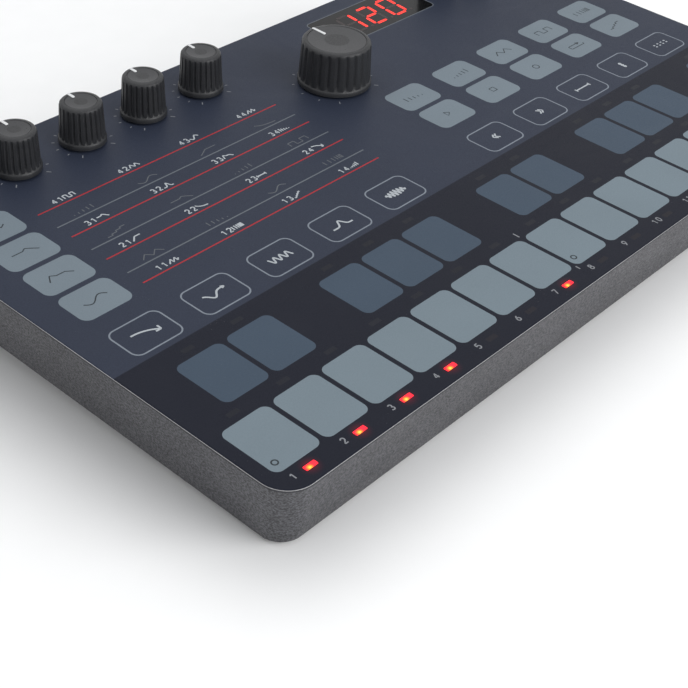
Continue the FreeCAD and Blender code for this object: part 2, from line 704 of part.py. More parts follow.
def main_board_screws():
    """Places of the main board's screws."""
    x0, x1, y0, y1 = main_board_box()
    dx, dy = MAIN_SCREW_INSET
    return [(x, y) for x in (x0 + dx, x1 - dx) for y in (y0 + dy, y1 - MAIN_SCREW_BACK)]


def main_screw_tip():
    """Height of the main board screws' tips in their standoffs."""
    return MAIN_UNDER - 0.55 * (MAIN_UNDER + HUMP_DROP)


def main_board():
    """The sound board, which carries the sockets."""
    board = box(*main_board_box(), MAIN_UNDER, MAIN_TOP)
    radius = BOARD_SCREW_RADIUS + SCREW_CLEARANCE
    return less(board, [rod(x, y, MAIN_UNDER - 1, MAIN_TOP + 1, radius) for x, y in main_board_screws()])


def main_screws():
    """Screws of the main board."""
    head = BOARD_SCREW_HEAD
    length = MAIN_TOP - main_screw_tip()
    z = MAIN_TOP + head[1]
    screws = [screw(x, y, z, length, BOARD_SCREW_RADIUS, head, up=False) for x, y in main_board_screws()]
    return group(screws)


def board_spread(count):
    """X of evenly spread pieces between the main board's screws."""
    x0, x1, _, _ = main_board_box()
    dx = MAIN_SCREW_INSET[0]
    return [x0 + dx + (x1 - x0 - 2 * dx) * (i + 1) / (count + 1) for i in range(count)]


def main_board_chips():
    """Chips on the main board."""
    y = main_board_box()[2] + CHIP_ROW
    places = board_spread(len(MAIN_CHIPS))
    return group([block(x, y, MAIN_TOP, (s, s, CHIP)) for x, s in zip(places, MAIN_CHIPS)])


def capacitors():
    """Upright capacitors on the main board."""
    y = main_board_box()[3] - MAIN_SCREW_BACK
    radius, height = CAPACITOR
    return group([rod(x, y, MAIN_TOP, MAIN_TOP + height, radius) for x in board_spread(CAPACITOR_COUNT)])


def link_place():
    """Centre of the link between the boards."""
    x0, x1, y0, _ = main_board_box()
    return (x0 + x1) / 2, y0 + LINK_FRONT


def link_connectors():
    """The headers at both ends of the link between the boards."""
    x, y = link_place()
    return group([block(x, y, MAIN_TOP, LINK_SIZE), block(x, y, CONTROL_UNDER - LINK_SIZE[2], LINK_SIZE)])


def link_cable():
    """The flat cable between the two headers, with one slack fold."""
    x, y = link_place()
    z0, z1 = MAIN_TOP + LINK_SIZE[2], CONTROL_UNDER - LINK_SIZE[2]
    width, thick = LINK_CABLE
    middle = (z0 + z1) / 2
    near, far = y - thick / 2, y + thick / 2
    front = Part.Arc(V(0, near, z0), V(0, near - LINK_SLACK, middle), V(0, near, z1)).toShape()
    rear = Part.Arc(V(0, far, z1), V(0, far - LINK_SLACK, middle), V(0, far, z0)).toShape()
    top = Part.LineSegment(V(0, near, z1), V(0, far, z1)).toShape()
    bottom = Part.LineSegment(V(0, far, z0), V(0, near, z0)).toShape()
    strip = Part.Face(Part.Wire([front, top, rear, bottom])).extrude(V(width, 0, 0))
    strip.translate(V(x - width / 2, 0, 0))
    return strip


# Sockets and the power switch

def round_socket(x, bore):
    """A jack socket: moulded body on the board, collar through the rear wall, and its bore."""
    w, d = SOCKET_BODY
    tip = rear_face(SOCKET_HEIGHT) + COLLAR_PROUD
    y1 = rear_face(0.0) - WALL - REAR_GAP
    body = box(x - w / 2, x + w / 2, y1 - d, y1, MAIN_TOP, SOCKET_HEIGHT + COLLAR_RADIUS)
    collar = Part.makeCylinder(COLLAR_RADIUS, tip - y1, V(x, y1, SOCKET_HEIGHT), V(0, 1, 0))
    start = V(x, tip - BORE_LENGTH, SOCKET_HEIGHT)
    hole = Part.makeCylinder(bore, BORE_LENGTH + 1.0, start, V(0, 1, 0))
    return body.fuse(collar).removeSplitter().cut(hole)


def usb_socket():
    """The power and data socket: a thin shell with a tongue."""
    w, d, h = USB_SIZE
    y1 = rear_face(MAIN_TOP) - 0.2
    x, t = on_board(USB_RIGHT), USB_WALL
    x0, x1, y0, z0, z1 = x - w / 2, x + w / 2, y1 - d, MAIN_TOP, MAIN_TOP + h
    shell = box(x0, x1, y0, y1, z0, z1).cut(box(x0 + t, x1 - t, y0 + 1.0, y1 + 1.0, z0 + t, z1 - t))
    tw, th = USB_TONGUE
    tongue = box(x - tw / 2, x + tw / 2, y0 + 0.5, y1 - 1.2, USB_HEIGHT - th / 2, USB_HEIGHT + th / 2)
    return shell.fuse(tongue).removeSplitter()


def power_switch_body():
    """The switch's can on the main board, with a slot for the slider."""
    w, d, h = SWITCH_SIZE
    x = on_board(SWITCH_RIGHT)
    y1 = rear_face(0.0) - WALL - REAR_GAP
    can = box(x - w / 2, x + w / 2, y1 - d, y1, MAIN_TOP, MAIN_TOP + h)
    reach = (SLIDER_SIZE[0] + SLIDER_TRAVEL) / 2 + SLOT_GAP
    half = SLIDER_SIZE[1] / 2 + 0.1
    y0 = y1 - SLIDER_SEAT - 0.3
    return can.cut(box(x - reach, x + reach, y0, y1 + 1.0, SLIDER_HEIGHT - half, SLIDER_HEIGHT + half))


def power_slider():
    """The slider of the power switch at its ON end, proud of the rear wall, with grip grooves."""
    w, h = SLIDER_SIZE
    x, z = on_board(SWITCH_RIGHT) + SLIDER_TRAVEL / 2, SLIDER_HEIGHT
    y0, y1 = rear_face(0.0) - WALL - REAR_GAP - SLIDER_SEAT, SLIDER_TIP
    slider = box(x - w / 2, x + w / 2, y0, y1, z - h / 2, z + h / 2)
    places = (-1.0, 0.0, 1.0)
    return less(slider, [box(x + dx - 0.2, x + dx + 0.2, y1 - 0.4, y1 + 1, z - h, z + h) for dx in places])


# Batteries

def cell_places():
    """Each cell: axis x, front end y, axis z, and whether its tip points to the rear."""
    x0, _, y0, _ = bay_box()
    pitch = 2 * CELL_RADIUS + CELL_GAP
    first = x0 + CELL_GAP + CELL_RADIUS
    y = y0 + CONTACT_THICK + CONTACT_SPRING
    return [(first + i * pitch, y, cell_floor() + CELL_RADIUS, i % 2 == 0) for i in range(CELL_COUNT)]


def batteries():
    """Four AA cells, each with its raised tip, laid in turns."""
    tip_radius, tip_length = CELL_TIP
    cells = []
    for x, y, z, tip_back in cell_places():
        can_y = y if tip_back else y + tip_length
        tip_y = y + CELL_LENGTH if tip_back else y
        can = Part.makeCylinder(CELL_RADIUS, CELL_LENGTH, V(x, can_y, z), V(0, 1, 0))
        tip = Part.makeCylinder(tip_radius, tip_length, V(x, tip_y, z), V(0, 1, 0))
        cells.append(can.fuse(tip).removeSplitter())
    return group(cells)


def contact(x, z, wall, way):
    """A plate contact with a bowed leaf that touches the cell; way is towards the cell."""
    w, h = CONTACT_SIZE
    face = wall + way * CONTACT_THICK
    plate = box(x - w / 2, x + w / 2, min(wall, face), max(wall, face), z - h / 2, z + h / 2)
    side, rise = x - LEAF_WIDTH / 2, h / 2 - 0.5
    low, high = V(side, face, z - rise), V(side, face, z + rise)
    step = V(0, 0, LEAF_THICK * 2.5)
    crown = V(side, face + way * CONTACT_SPRING, z)
    inner = V(side, face + way * (CONTACT_SPRING - LEAF_THICK), z)
    bow = [Part.Arc(low, crown, high).toShape(), Part.Arc(high - step, inner, low + step).toShape()]
    ends = [Part.LineSegment(high, high - step).toShape(), Part.LineSegment(low + step, low).toShape()]
    leaf = Part.Face(Part.Wire([bow[0], ends[0], bow[1], ends[1]]))
    return plate.fuse(leaf.extrude(V(LEAF_WIDTH, 0, 0)))


def battery_contacts():
    """A contact at both ends of every cell."""
    _, _, y0, y1 = bay_box()
    shapes = []
    for x, _, z, _ in cell_places():
        shapes += [contact(x, z, y0, 1), contact(x, z, y1, -1)]
    return group(shapes)


# Display and knobs

def display_window():
    """The dark window over the display, flush with the panel."""
    return field(*DISPLAY_PLACE, DISPLAY_SIZE, DISPLAY_CORNER, DECK_TOP, PANEL_TOP)


def display_module():
    """The three-digit display on the control board, in the deck's opening."""
    size = (DISPLAY_SIZE[0] - 2 * DISPLAY_FRAME, DISPLAY_SIZE[1] - 2 * DISPLAY_FRAME, DECK_TOP - CONTROL_TOP)
    return block(*DISPLAY_PLACE, CONTROL_TOP, size)


def plunger_top():
    """Height of the encoder plunger's upper face, on which its shaft stands."""
    return pot_floor_top() + SHAFT_SEAT + PUSH_TRAVEL + PLUNGER[1]


def encoder_plunger(x, y):
    """The disc that slides in the encoder and carries its shaft."""
    return rod(x, y, plunger_top() - PLUNGER[1], plunger_top(), PLUNGER[0])


def knob_shaft(x, y, height, z0):
    """A shaft from its pot to inside the knob, with a flat where the knob grips it."""
    z1 = PANEL_TOP + height - KNOB_CAP
    shaft = rod(x, y, z0, z1, SHAFT_RADIUS)
    flat = box(x - 5, x + 5, y + SHAFT_FLAT, y + 5, PANEL_TOP + KNOB_GAP, z1 + 1)
    return shaft.cut(flat)


def pot_floor_top():
    """Height of the floor inside a pot."""
    return CONTROL_UNDER - POT_SIZE[2] + POT_FLOOR


def pot_body(x, y):
    """A pot or encoder hanging under the control board, bored for its shaft."""
    body = block(x, y, CONTROL_UNDER - POT_SIZE[2], POT_SIZE)
    return body.cut(rod(x, y, pot_floor_top(), CONTROL_UNDER + 1, SHAFT_RADIUS + SHAFT_RUNNING_GAP))


def knob(x, y, radius, height):
    """A tapered knob with a fluted grip, a pointer groove and a bore with a flat."""
    z0, z1 = PANEL_TOP + KNOB_GAP, PANEL_TOP + height
    grip = Part.makeCone(radius, radius - KNOB_TAPER, z1 - z0, V(x, y, z0))
    rim = [e for e in grip.Edges if e.BoundBox.ZMin > z1 - 0.01]
    grip = grip.makeFillet(KNOB_EDGE, rim)
    cuts = []
    for i in range(GRIP_FLUTES):
        a = 2 * math.pi * (i + 0.5) / GRIP_FLUTES
        r = radius + FLUTE_RADIUS * 0.45
        cuts.append(rod(x + r * math.cos(a), y + r * math.sin(a), z0 + 2.0, z1 - 1.6, FLUTE_RADIUS))
    half = POINTER_WIDTH / 2
    pointer = box(x - half, x + half, y + radius * 0.3, y + radius + 1, z1 - POINTER_DEPTH, z1 + 1)
    bore = rod(x, y, z0 - 1, z1 - KNOB_CAP, SHAFT_RADIUS)
    key = box(x - 5, x + 5, y + SHAFT_FLAT, y + 5, z0 - 2, z1 + 1)
    return less(grip, cuts + [pointer, bore.cut(key)])


def make_parts():
    """Every node of the part, by name."""
    outlines = [outline(x, y, PANEL_TOP - INLAY, PANEL_TOP) for x, y in outlined_buttons()]
    encoder_x, encoder_y, _, _ = KNOBS[ENCODER]
    pots = [pot_body(x, y) for name, (x, y, _, _) in KNOBS.items() if name != ENCODER]
    parts = {
        "top_case": top_case(),
        "front_panel": front_panel(),
        "base_plate": base_plate(),
        "battery_door": battery_door(),
        "rubber_feet": rubber_feet(),
        "case_screws": case_screws(),
        "white_key_pads": inlays(white_keys(), WHITE_SIZE, KEY_CORNER),
        "dark_key_pads": inlays(dark_keys(), DARK_SIZE, KEY_CORNER),
        "edit_button_pads": inlays(edit_buttons(), BUTTON_SIZE, BUTTON_CORNER),
        "function_button_pads": inlays(function_buttons(), BUTTON_SIZE, BUTTON_CORNER),
        "button_outlines": group(outlines),
        "step_light_windows": light_windows(step_lights()),
        "key_light_windows": light_windows(key_lights()),
        "step_leds": lamps(step_lights()),
        "key_leds": lamps(key_lights()),
        "display_window": display_window(),
        "display_module": display_module(),
        "control_board": control_board(),
        "touch_electrodes": touch_electrodes(),
        "control_board_chips": control_board_chips(),
        "board_screws": board_screws(),
        "main_board": main_board(),
        "main_board_chips": main_board_chips(),
        "capacitors": capacitors(),
        "main_board_screws": main_screws(),
        "link_connectors": link_connectors(),
        "link_cable": link_cable(),
        "usb_socket": usb_socket(),
        "power_switch_body": power_switch_body(),
        "power_slider": power_slider(),
        "batteries": batteries(),
        "battery_contacts": battery_contacts(),
        "potentiometer_bodies": group(pots),
        "encoder_body": pot_body(encoder_x, encoder_y),
        "encoder_plunger": encoder_plunger(encoder_x, encoder_y),
    }
    for name, right in SOCKET_RIGHT.items():
        parts[name] = round_socket(on_board(right), LARGE_BORE if name.startswith("audio") else SMALL_BORE)
    for name, (x, y, radius, height) in KNOBS.items():
        foot = plunger_top() if name == ENCODER else pot_floor_top() + SHAFT_SEAT
        parts[name + "_knob"] = knob(x, y, radius, height)
        parts[name + "_shaft"] = knob_shaft(x, y, height, foot)
    return parts


def main():
    """Builds every node and writes its STEP file."""
    os.makedirs("parts", exist_ok=True)
    for name, shape in make_parts().items():
        stand(shape).exportStep(os.path.join("parts", name + ".step"))
        print(f"{name}: {len(shape.Solids)} solids, {shape.Volume:.1f} mm3, valid {shape.isValid()}")


main()
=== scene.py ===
"""Looks of a portable touch-panel synthesizer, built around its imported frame.

Pieces are drawn in level millimetres: the panel is horizontal, x runs to the player's right, y to
the rear, and z = 0 is the lower edge of the case's walls. LevelFrame carries them into the frame.
"""

import json
import logging
import math
from collections.abc import Callable, Iterable, Sequence
from dataclasses import dataclass
from enum import Enum

import bmesh
import bpy
from mathutils import Matrix, Vector
from mathutils.bvhtree import BVHTree

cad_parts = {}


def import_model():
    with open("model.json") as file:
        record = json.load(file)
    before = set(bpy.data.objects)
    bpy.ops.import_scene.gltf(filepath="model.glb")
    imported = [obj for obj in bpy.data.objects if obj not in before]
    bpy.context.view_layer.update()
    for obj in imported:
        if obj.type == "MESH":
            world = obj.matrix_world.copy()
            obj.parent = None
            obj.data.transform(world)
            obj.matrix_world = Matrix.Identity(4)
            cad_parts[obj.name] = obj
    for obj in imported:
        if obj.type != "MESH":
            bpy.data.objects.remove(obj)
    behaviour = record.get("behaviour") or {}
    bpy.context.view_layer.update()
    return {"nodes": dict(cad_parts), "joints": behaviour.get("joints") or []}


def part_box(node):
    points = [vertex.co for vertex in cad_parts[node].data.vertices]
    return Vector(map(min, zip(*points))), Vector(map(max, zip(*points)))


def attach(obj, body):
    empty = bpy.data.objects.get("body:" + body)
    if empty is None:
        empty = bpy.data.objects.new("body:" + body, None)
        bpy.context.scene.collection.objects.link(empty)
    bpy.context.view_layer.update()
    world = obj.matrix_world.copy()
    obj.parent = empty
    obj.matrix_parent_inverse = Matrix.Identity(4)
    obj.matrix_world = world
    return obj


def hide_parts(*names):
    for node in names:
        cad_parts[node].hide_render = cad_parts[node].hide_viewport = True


LOG = logging.getLogger("synthesizer")

Triple = tuple[float, float, float]
Colour = Place = Triple
Point = tuple[float, float]
Line = list[Point]
Socket = bpy.types.NodeSocket
Node = bpy.types.Node

MM = 0.001
PANEL_TOP = 26.5
JOINT_HEIGHT = 31.5  # a small knob's joint stands here
INK_HEIGHT = 0.012
INK_LIFT = 0.004
INK_FOOT = 0.01  # printed plates reach this far into what carries them
BLACK = (0.0, 0.0, 0.0)


class Body(Enum):
    """The bodies that carry more than a knob."""

    CASE = "case"
    DOOR = "battery_door"


class Slot(Enum):
    """The record's material slots, which each new piece names but which are not used."""

    CASE = "case_plastic"
    LINE = "outline_print"
    LIGHT = "light_print"
    WINDOW = "light_window"
    GLASS = "display_glass"
    KNOB = "knob_plastic"
    STEEL = "socket_steel"


def sampled(height: Callable[[float], float], count: int = 28) -> Line:
    """Draws a curve across a label.

    Args:
        height: The curve's height, from -1 to 1, at a place from -1 to 1.
        count: How many steps the curve has.

    Returns:
        The curve's points.
    """
    return [(x, height(x)) for x in (2 * i / count - 1 for i in range(count + 1))]


def arc(centre: Point, reach: Point, start: float, end: float, count: int = 12) -> Line:
    """Draws a part of an oval.

    Args:
        centre: The oval's centre.
        reach: Half of its width and height.
        start: The angle at which it starts, in degrees.
        end: The angle at which it ends.
        count: How many steps it has.

    Returns:
        The arc's points.
    """
    turns = [math.radians(start + (end - start) * i / count) for i in range(count + 1)]
    return [(centre[0] + reach[0] * math.cos(a), centre[1] + reach[1] * math.sin(a)) for a in turns]


def circle(radius: float, centre: Point = (0.0, 0.0), count: int = 20) -> Line:
    """Draws a closed round line.

    Args:
        radius: The circle's radius.
        centre: The circle's centre.
        count: How many steps the circle has.

    Returns:
        The circle's points, the first one again at the end.
    """
    return arc(centre, (radius, radius), 0.0, 360.0, count)


# Plain figures, as strokes in a square from -1 to 1
FIGURES: dict[str, list[Line]] = {
    "0": [arc((0, 0), (0.9, 1.0), 0, 360, 24)],
    "1": [[(-0.65, 0.5), (0.15, 1.0), (0.15, -1.0)]],
    "2": [arc((0, 0.42), (0.85, 0.58), 165, -30) + [(-0.85, -1.0), (0.9, -1.0)]],
    "3": [arc((-0.05, 0.5), (0.75, 0.5), 150, -80) + arc((-0.05, -0.5), (0.9, 0.52), 80, -150)],
    "4": [[(0.45, -1.0), (0.45, 1.0), (-0.95, -0.45), (0.95, -0.45)]],
    "5": [[(0.8, 1.0), (-0.6, 1.0), (-0.75, 0.1)] + arc((-0.02, -0.38), (0.9, 0.62), 135, -145)],
    "6": [[(0.6, 1.0), (-0.1, 0.65)] + arc((0, -0.38), (0.88, 0.62), 160, 520, 24)],
    "7": [[(-0.9, 1.0), (0.9, 1.0), (-0.25, -1.0)]],
    "8": [arc((0, 0.52), (0.7, 0.48), 0, 360, 20), arc((0, -0.45), (0.88, 0.55), 0, 360, 20)],
    "9": [[(-0.6, -1.0), (0.1, -0.65)] + arc((0, 0.38), (0.88, 0.62), -20, 340, 24)],
}


class Mark(Enum):
    """Pictograms that stand where the panel needs a label, as strokes in a square from -1 to 1."""

    FALL = [sampled(lambda x: 0.9 - 1.8 * ((x + 1) / 2) ** 2.2), [(0.55, -0.85), (1, -0.9), (1, 0.25)]]
    SCOOP = [sampled(lambda x: 0.75 - 1.6 * math.exp(-((x + 0.3) / 0.4) ** 2)),
             [(0.72, 1.0), (1, 0.75), (0.72, 0.4)]]
    VIBRATO = [sampled(lambda x: 0.75 * math.sin(3.5 * math.pi * x), 48)]
    PEAK = [sampled(lambda x: -0.8 + 1.7 * math.exp(-((x - 0.1) / 0.28) ** 2), 36)]
    TREMOLO = [sampled(lambda x: (0.35 + 0.6 * math.cos(math.pi * x / 2)) * math.sin(6 * math.pi * x), 72)]
    SAW = [[(-1, -0.8), (-0.2, 0.8), (-0.2, -0.8), (0.6, 0.8), (0.6, -0.8), (1, 0.0)]]
    SQUARE = [[(-1, -0.8), (-1, 0.8), (-0.33, 0.8), (-0.33, -0.8), (0.33, -0.8), (0.33, 0.8), (1, 0.8),
               (1, -0.8)]]
    TRIANGLE = [[(-1, -0.7), (-0.5, 0.8), (0, -0.7), (0.5, 0.8), (1, -0.7)]]
    SINE = [sampled(lambda x: 0.8 * math.sin(math.pi * x))]
    ATTACK = [[(-1, -0.8), (-0.1, 0.8), (1, 0.8)]]
    DECAY = [sampled(lambda x: -0.8 + 1.6 * math.exp(-1.6 * (x + 1)))]
    ENVELOPE = [[(-1, -0.8), (-0.6, 0.9), (-0.2, 0.2), (0.5, 0.2), (1, -0.8)]]
    RATE = [[(x, -0.8), (x, 0.8)] for x in (-1, -0.45, 0.0, 0.35, 0.6, 0.8, 0.95)]
    BARS = [[(-0.9 + 0.45 * i, -0.8), (-0.9 + 0.45 * i, -0.5 + 0.33 * i)] for i in range(5)]
    FILTER = [[(-1, 0.3), (-0.1, 0.3), (0.2, 0.85), (0.5, 0.3), (1, -0.8)]]
    STEPS = [[(-1, -0.8), (-0.5, -0.8), (-0.5, -0.25), (0, -0.25), (0, 0.3), (0.5, 0.3), (0.5, 0.8),
              (1, 0.8)]]
    DOWN = [[(0.1, 0.8), (-0.7, 0), (0.1, -0.8)], [(0.8, 0.8), (0, 0), (0.8, -0.8)]]
    UP = [[(-0.1, 0.8), (0.7, 0), (-0.1, -0.8)], [(-0.8, 0.8), (0, 0), (-0.8, -0.8)]]
    HOLD = [[(-0.9, 0.5), (-0.9, -0.5)], [(-0.9, 0), (0.9, 0)], [(0.9, 0.5), (0.9, -0.5)]]
    CHORD = [circle(0.25, (0, y)) for y in (-0.75, 0, 0.75)]
    GRID = [[(-0.8 + 0.53 * i, y), (-0.6 + 0.53 * i, y)] for i in range(4) for y in (-0.4, 0.4)]
    PLAY = [[(-0.5, -0.8), (-0.5, 0.8), (0.7, 0), (-0.5, -0.8)]]
    RECORD = [circle(0.8)]
    STOP = [[(-0.7, -0.7), (-0.7, 0.7), (0.7, 0.7), (0.7, -0.7), (-0.7, -0.7)]]
    LOOP = [[(0.9, -0.1), (0.9, -0.6), (-0.9, -0.6), (-0.9, 0.6), (0.5, 0.6)],
            [(0.2, 1), (0.6, 0.6), (0.2, 0.2)]]
    ECHO = [[(-0.9 + 0.45 * i, -0.8), (-0.9 + 0.45 * i, 0.8 - 0.33 * i)] for i in range(5)]
    OUTWARD = [circle(0.5, (-0.3, 0)), [(-0.3, 0), (1, 0)], [(0.6, 0.35), (1, 0), (0.6, -0.35)]]
    INWARD = [circle(0.5, (-0.3, 0)), [(1, 0), (0.0, 0)], [(0.35, 0.35), (0.0, 0), (0.35, -0.35)]]
    PINS = [circle(0.95)] + [circle(0.06, (0.6 * math.cos(a), 0.6 * math.sin(a)), 8)
                             for a in (math.pi * k / 4 for k in range(4, 9))]
    PLUG = [[(-0.9, -0.45), (-0.9, 0.45), (0.9, 0.45), (0.9, -0.45), (-0.9, -0.45)], [(-0.55, 0), (0.55, 0)]]


@dataclass(frozen=True)
class PanelLayout:
    """Where the panel's rows and columns lie, in level millimetres from the panel's middle.

    Attributes:
        half_width: Half of the panel's width.
        half_depth: Half of the panel's depth.
        white_left: The middle of the first light key.
        key_pitch: From one light key to the next.
        key_count: How many light keys there are.
        step_row: The row of step lights.
        light_size: A step light's width and depth.
        lit_steps: The steps whose lights are on.
        number_left: The first step number, from the panel's left.
        number_row: The row of step numbers.
        column_left: The first column of buttons and knobs.
        column_pitch: From one column to the next.
        outlined_row: The row of outlined buttons.
        edit_row: The front row of edit and function pads.
        edit_pitch: From one row of pads to the next.
        zone_row: Where the film's rear zone begins.
        knob_row: The row of small knobs.
        cutoff: The large knob's middle.
        display: The display's middle.
        display_size: The display window's width and depth.
    """

    half_width: float = 128.0
    half_depth: float = 75.0
    white_left: float = -117.07
    key_pitch: float = 15.52
    key_count: int = 16
    step_row: float = -71.05
    light_size: Point = (3.5, 1.45)
    lit_steps: tuple[int, ...] = (1, 2, 3, 4, 7)
    number_left: float = 6.02
    number_row: float = -70.81
    column_left: float = -111.9
    column_pitch: float = 22.06
    outlined_row: float = -15.1
    edit_row: float = 2.4
    edit_pitch: float = 13.04
    zone_row: float = -22.5
    knob_row: float = 59.5
    cutoff: Point = (9.43, 37.0)
    display: Point = (52.45, 59.5)
    display_size: Point = (44.12, 17.0)

    def white_key(self, index: int) -> float:
        """Gives the x of a white key's middle."""
        return self.white_left + index * self.key_pitch

    def column(self, index: float) -> float:
        """Gives the x of a column of buttons and knobs."""
        return self.column_left + index * self.column_pitch

    def edit(self, index: int) -> float:
        """Gives the y of a row of edit and function pads."""
        return self.edit_row + index * self.edit_pitch


@dataclass(frozen=True)
class LevelFrame:
    """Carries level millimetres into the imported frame.

    Attributes:
        matrix: From level millimetres to the frame's metres.
        tilt: How far the panel's rear is raised, in radians.
        pivot: A point of the frame, in metres.
        level_pivot: The same point in level millimetres.
    """

    matrix: Matrix
    tilt: float
    pivot: Vector
    level_pivot: Vector

    @classmethod
    def from_joint(cls, joints: Iterable[dict], name: str, level_pivot: Point,
                   height: float) -> "LevelFrame":
        """Finds the level frame from a knob's axis.

        Args:
            joints: The record's joints.
            name: The joint whose axis stands on the panel.
            level_pivot: The axis's x and y in level millimetres.
            height: The joint's anchor above the level frame's floor.

        Returns:
            The level frame.
        """
        joint = next(j for j in joints if j["name"] == name)
        axis, pivot = Vector(joint["axis"]), Vector(joint["pos_m"])
        tilt = math.atan2(-axis.y, axis.z)
        start = Vector((*level_pivot, height))
        turn = Matrix.Rotation(tilt, 4, "X")
        matrix = Matrix.Translation(pivot) @ turn @ Matrix.Scale(MM, 4) @ Matrix.Translation(-start)
        return cls(matrix, tilt, pivot, start)

    def pattern_offset(self) -> Vector:
        """Gives the shift that a Mapping node adds after it turns the frame level, in metres."""
        return self.level_pivot * MM - Matrix.Rotation(-self.tilt, 3, "X") @ self.pivot


class Bench:
    """Adds and links the nodes of one shader tree or pattern."""

    MIX_INPUTS = (0, 6, 7)  # a Mix node's factor and two colours
    MIX_OUTPUT = 2

    def __init__(self, tree: bpy.types.NodeTree) -> None:
        """Starts work on a tree."""
        self.tree = tree

    def feed(self, target: Socket, value: object) -> None:
        """Links an output to an input, or sets the input's value.

        Args:
            target: The input.
            value: A value or an output.
        """
        if isinstance(value, Socket):
            self.tree.links.new(value, target)
        else:
            target.default_value = value

    def add(self, kind: str, sockets: dict | None = None, **properties: object) -> Node:
        """Adds a node.

        Args:
            kind: The node's type, without its ShaderNode prefix.
            sockets: Values for its inputs, or the outputs that are linked to them.
            properties: The node's own settings.

        Returns:
            The node.
        """
        node = self.tree.nodes.new("ShaderNode" + kind)
        for name, value in properties.items():
            setattr(node, name, value)
        for name, value in (sockets or {}).items():
            self.feed(node.inputs[name], value)
        return node

    def math(self, operation: str, first: object, second: object = 0.5, clamp: bool = False) -> Socket:
        """Works out one operation on two values or outputs, held from 0 to 1 if clamped."""
        return self.add("Math", {0: first, 1: second}, operation=operation, use_clamp=clamp).outputs[0]

    def span(self, value: Socket, low: float, high: float, to_low: float = 0.0,
             to_high: float = 1.0) -> Socket:
        """Carries a value from one range to another and holds it there."""
        sockets = {"Value": value, "From Min": low, "From Max": high, "To Min": to_low, "To Max": to_high}
        return self.add("MapRange", sockets).outputs["Result"]

    def blend(self, share: object, first: object, second: object) -> Socket:
        """Mixes two colours.

        Args:
            share: How much of the second colour is seen.
            first: A colour or an output.
            second: A colour or an output.

        Returns:
            The mixed colour.
        """
        mix = self.add("Mix", data_type="RGBA")
        for index, value in zip(self.MIX_INPUTS, (share, first, second)):
            self.feed(mix.inputs[index], (*value, 1.0) if isinstance(value, tuple) else value)
        return mix.outputs[self.MIX_OUTPUT]

    def length(self, vector: Socket) -> Socket:
        """Gives the length of a vector."""
        return self.add("VectorMath", {0: vector}, operation="LENGTH").outputs["Value"]

    def glow(self, shader: Node, colour: object, strength: float = 1.0) -> None:
        """Makes a surface give off light of a colour or of an output's colours."""
        self.feed(shader.inputs["Emission Color"], colour)
        shader.inputs["Emission Strength"].default_value = strength

    def group(self, pattern: "Pattern", sockets: dict) -> Node:
        """Adds a pattern's group node.

        Args:
            pattern: The pattern.
            sockets: Values for its inputs, or the outputs that are linked to them.

        Returns:
            The group node.
        """
        node = self.tree.nodes.new("ShaderNodeGroup")
        node.node_tree = pattern.tree()
        for name, value in sockets.items():
            self.feed(node.inputs[name], value)
        return node


def seen_directly(bench: Bench) -> Socket:
    """Gives 1 where the eye looks directly, in a mirror or through glass, and 0 for light.

    Args:
        bench: The bench of a material or of the surroundings.

    Returns:
        The mask.
    """
    path = bench.add("LightPath")
    seen = bench.math("ADD", path.outputs["Is Camera Ray"], path.outputs["Is Glossy Ray"])
    return bench.math("ADD", seen, path.outputs["Is Transmission Ray"], clamp=True)


@dataclass(frozen=True)
class Pattern:
    """A pattern that several finishes share, kept as one node group.

    Attributes:
        name: The group's name.
        inputs: Its inputs, each with a socket type and a default.
        outputs: Its outputs, each with a socket type.
        work: Draws the pattern from the group's input node, and gives the outputs' sources.
    """

    name: str
    inputs: tuple[tuple[str, str, float | None], ...]
    outputs: tuple[tuple[str, str], ...]
    work: Callable[[Bench, Node], Sequence[Socket]]

    def tree(self) -> bpy.types.NodeTree:
        """Gives the pattern's group, which is built once."""
        return bpy.data.node_groups.get(self.name) or self._build()

    def _build(self) -> bpy.types.NodeTree:
        """Builds the group.

        Returns:
            The new group.
        """
        tree = bpy.data.node_groups.new(self.name, "ShaderNodeTree")
        for name, kind, default in self.inputs:
            socket = tree.interface.new_socket(name, in_out="INPUT", socket_type="NodeSocket" + kind)
            if default is not None:
                socket.default_value = default
        for name, kind in self.outputs:
            tree.interface.new_socket(name, in_out="OUTPUT", socket_type="NodeSocket" + kind)
        start, end = tree.nodes.new("NodeGroupInput"), tree.nodes.new("NodeGroupOutput")
        for (name, _), source in zip(self.outputs, self.work(Bench(tree), start)):
            tree.links.new(source, end.inputs[name])
        return tree


def draw_grain(bench: Bench, start: Node) -> Sequence[Socket]:
    """Draws the fine pitted grain of moulded plastic.

    Args:
        bench: The group's bench.
        start: The group's input node.

    Returns:
        The grain's height, its dark pits and a slow mottle.
    """
    where, scale = start.outputs["Vector"], start.outputs["Scale"]
    fine = bench.add("TexNoise", {"Vector": where, "Scale": scale, "Detail": 1.5, "Roughness": 0.6})
    cell_scale = bench.math("MULTIPLY", scale, 0.7)
    cells = bench.add("TexVoronoi", {"Vector": where, "Scale": cell_scale}, feature="SMOOTH_F1")
    pits = bench.span(cells.outputs["Distance"], 0.1, 0.75)
    height = bench.math("MULTIPLY", fine.outputs[0], 0.6)
    height = bench.math("ADD", height, bench.math("MULTIPLY", pits, 0.4))
    slow_scale = bench.math("MULTIPLY", scale, 0.012)
    slow = bench.add("TexNoise", {"Vector": where, "Scale": slow_scale, "Detail": 2.0})
    return height, bench.span(fine.outputs[0], 0.36, 0.64), bench.span(slow.outputs[0], 0.35, 0.65)


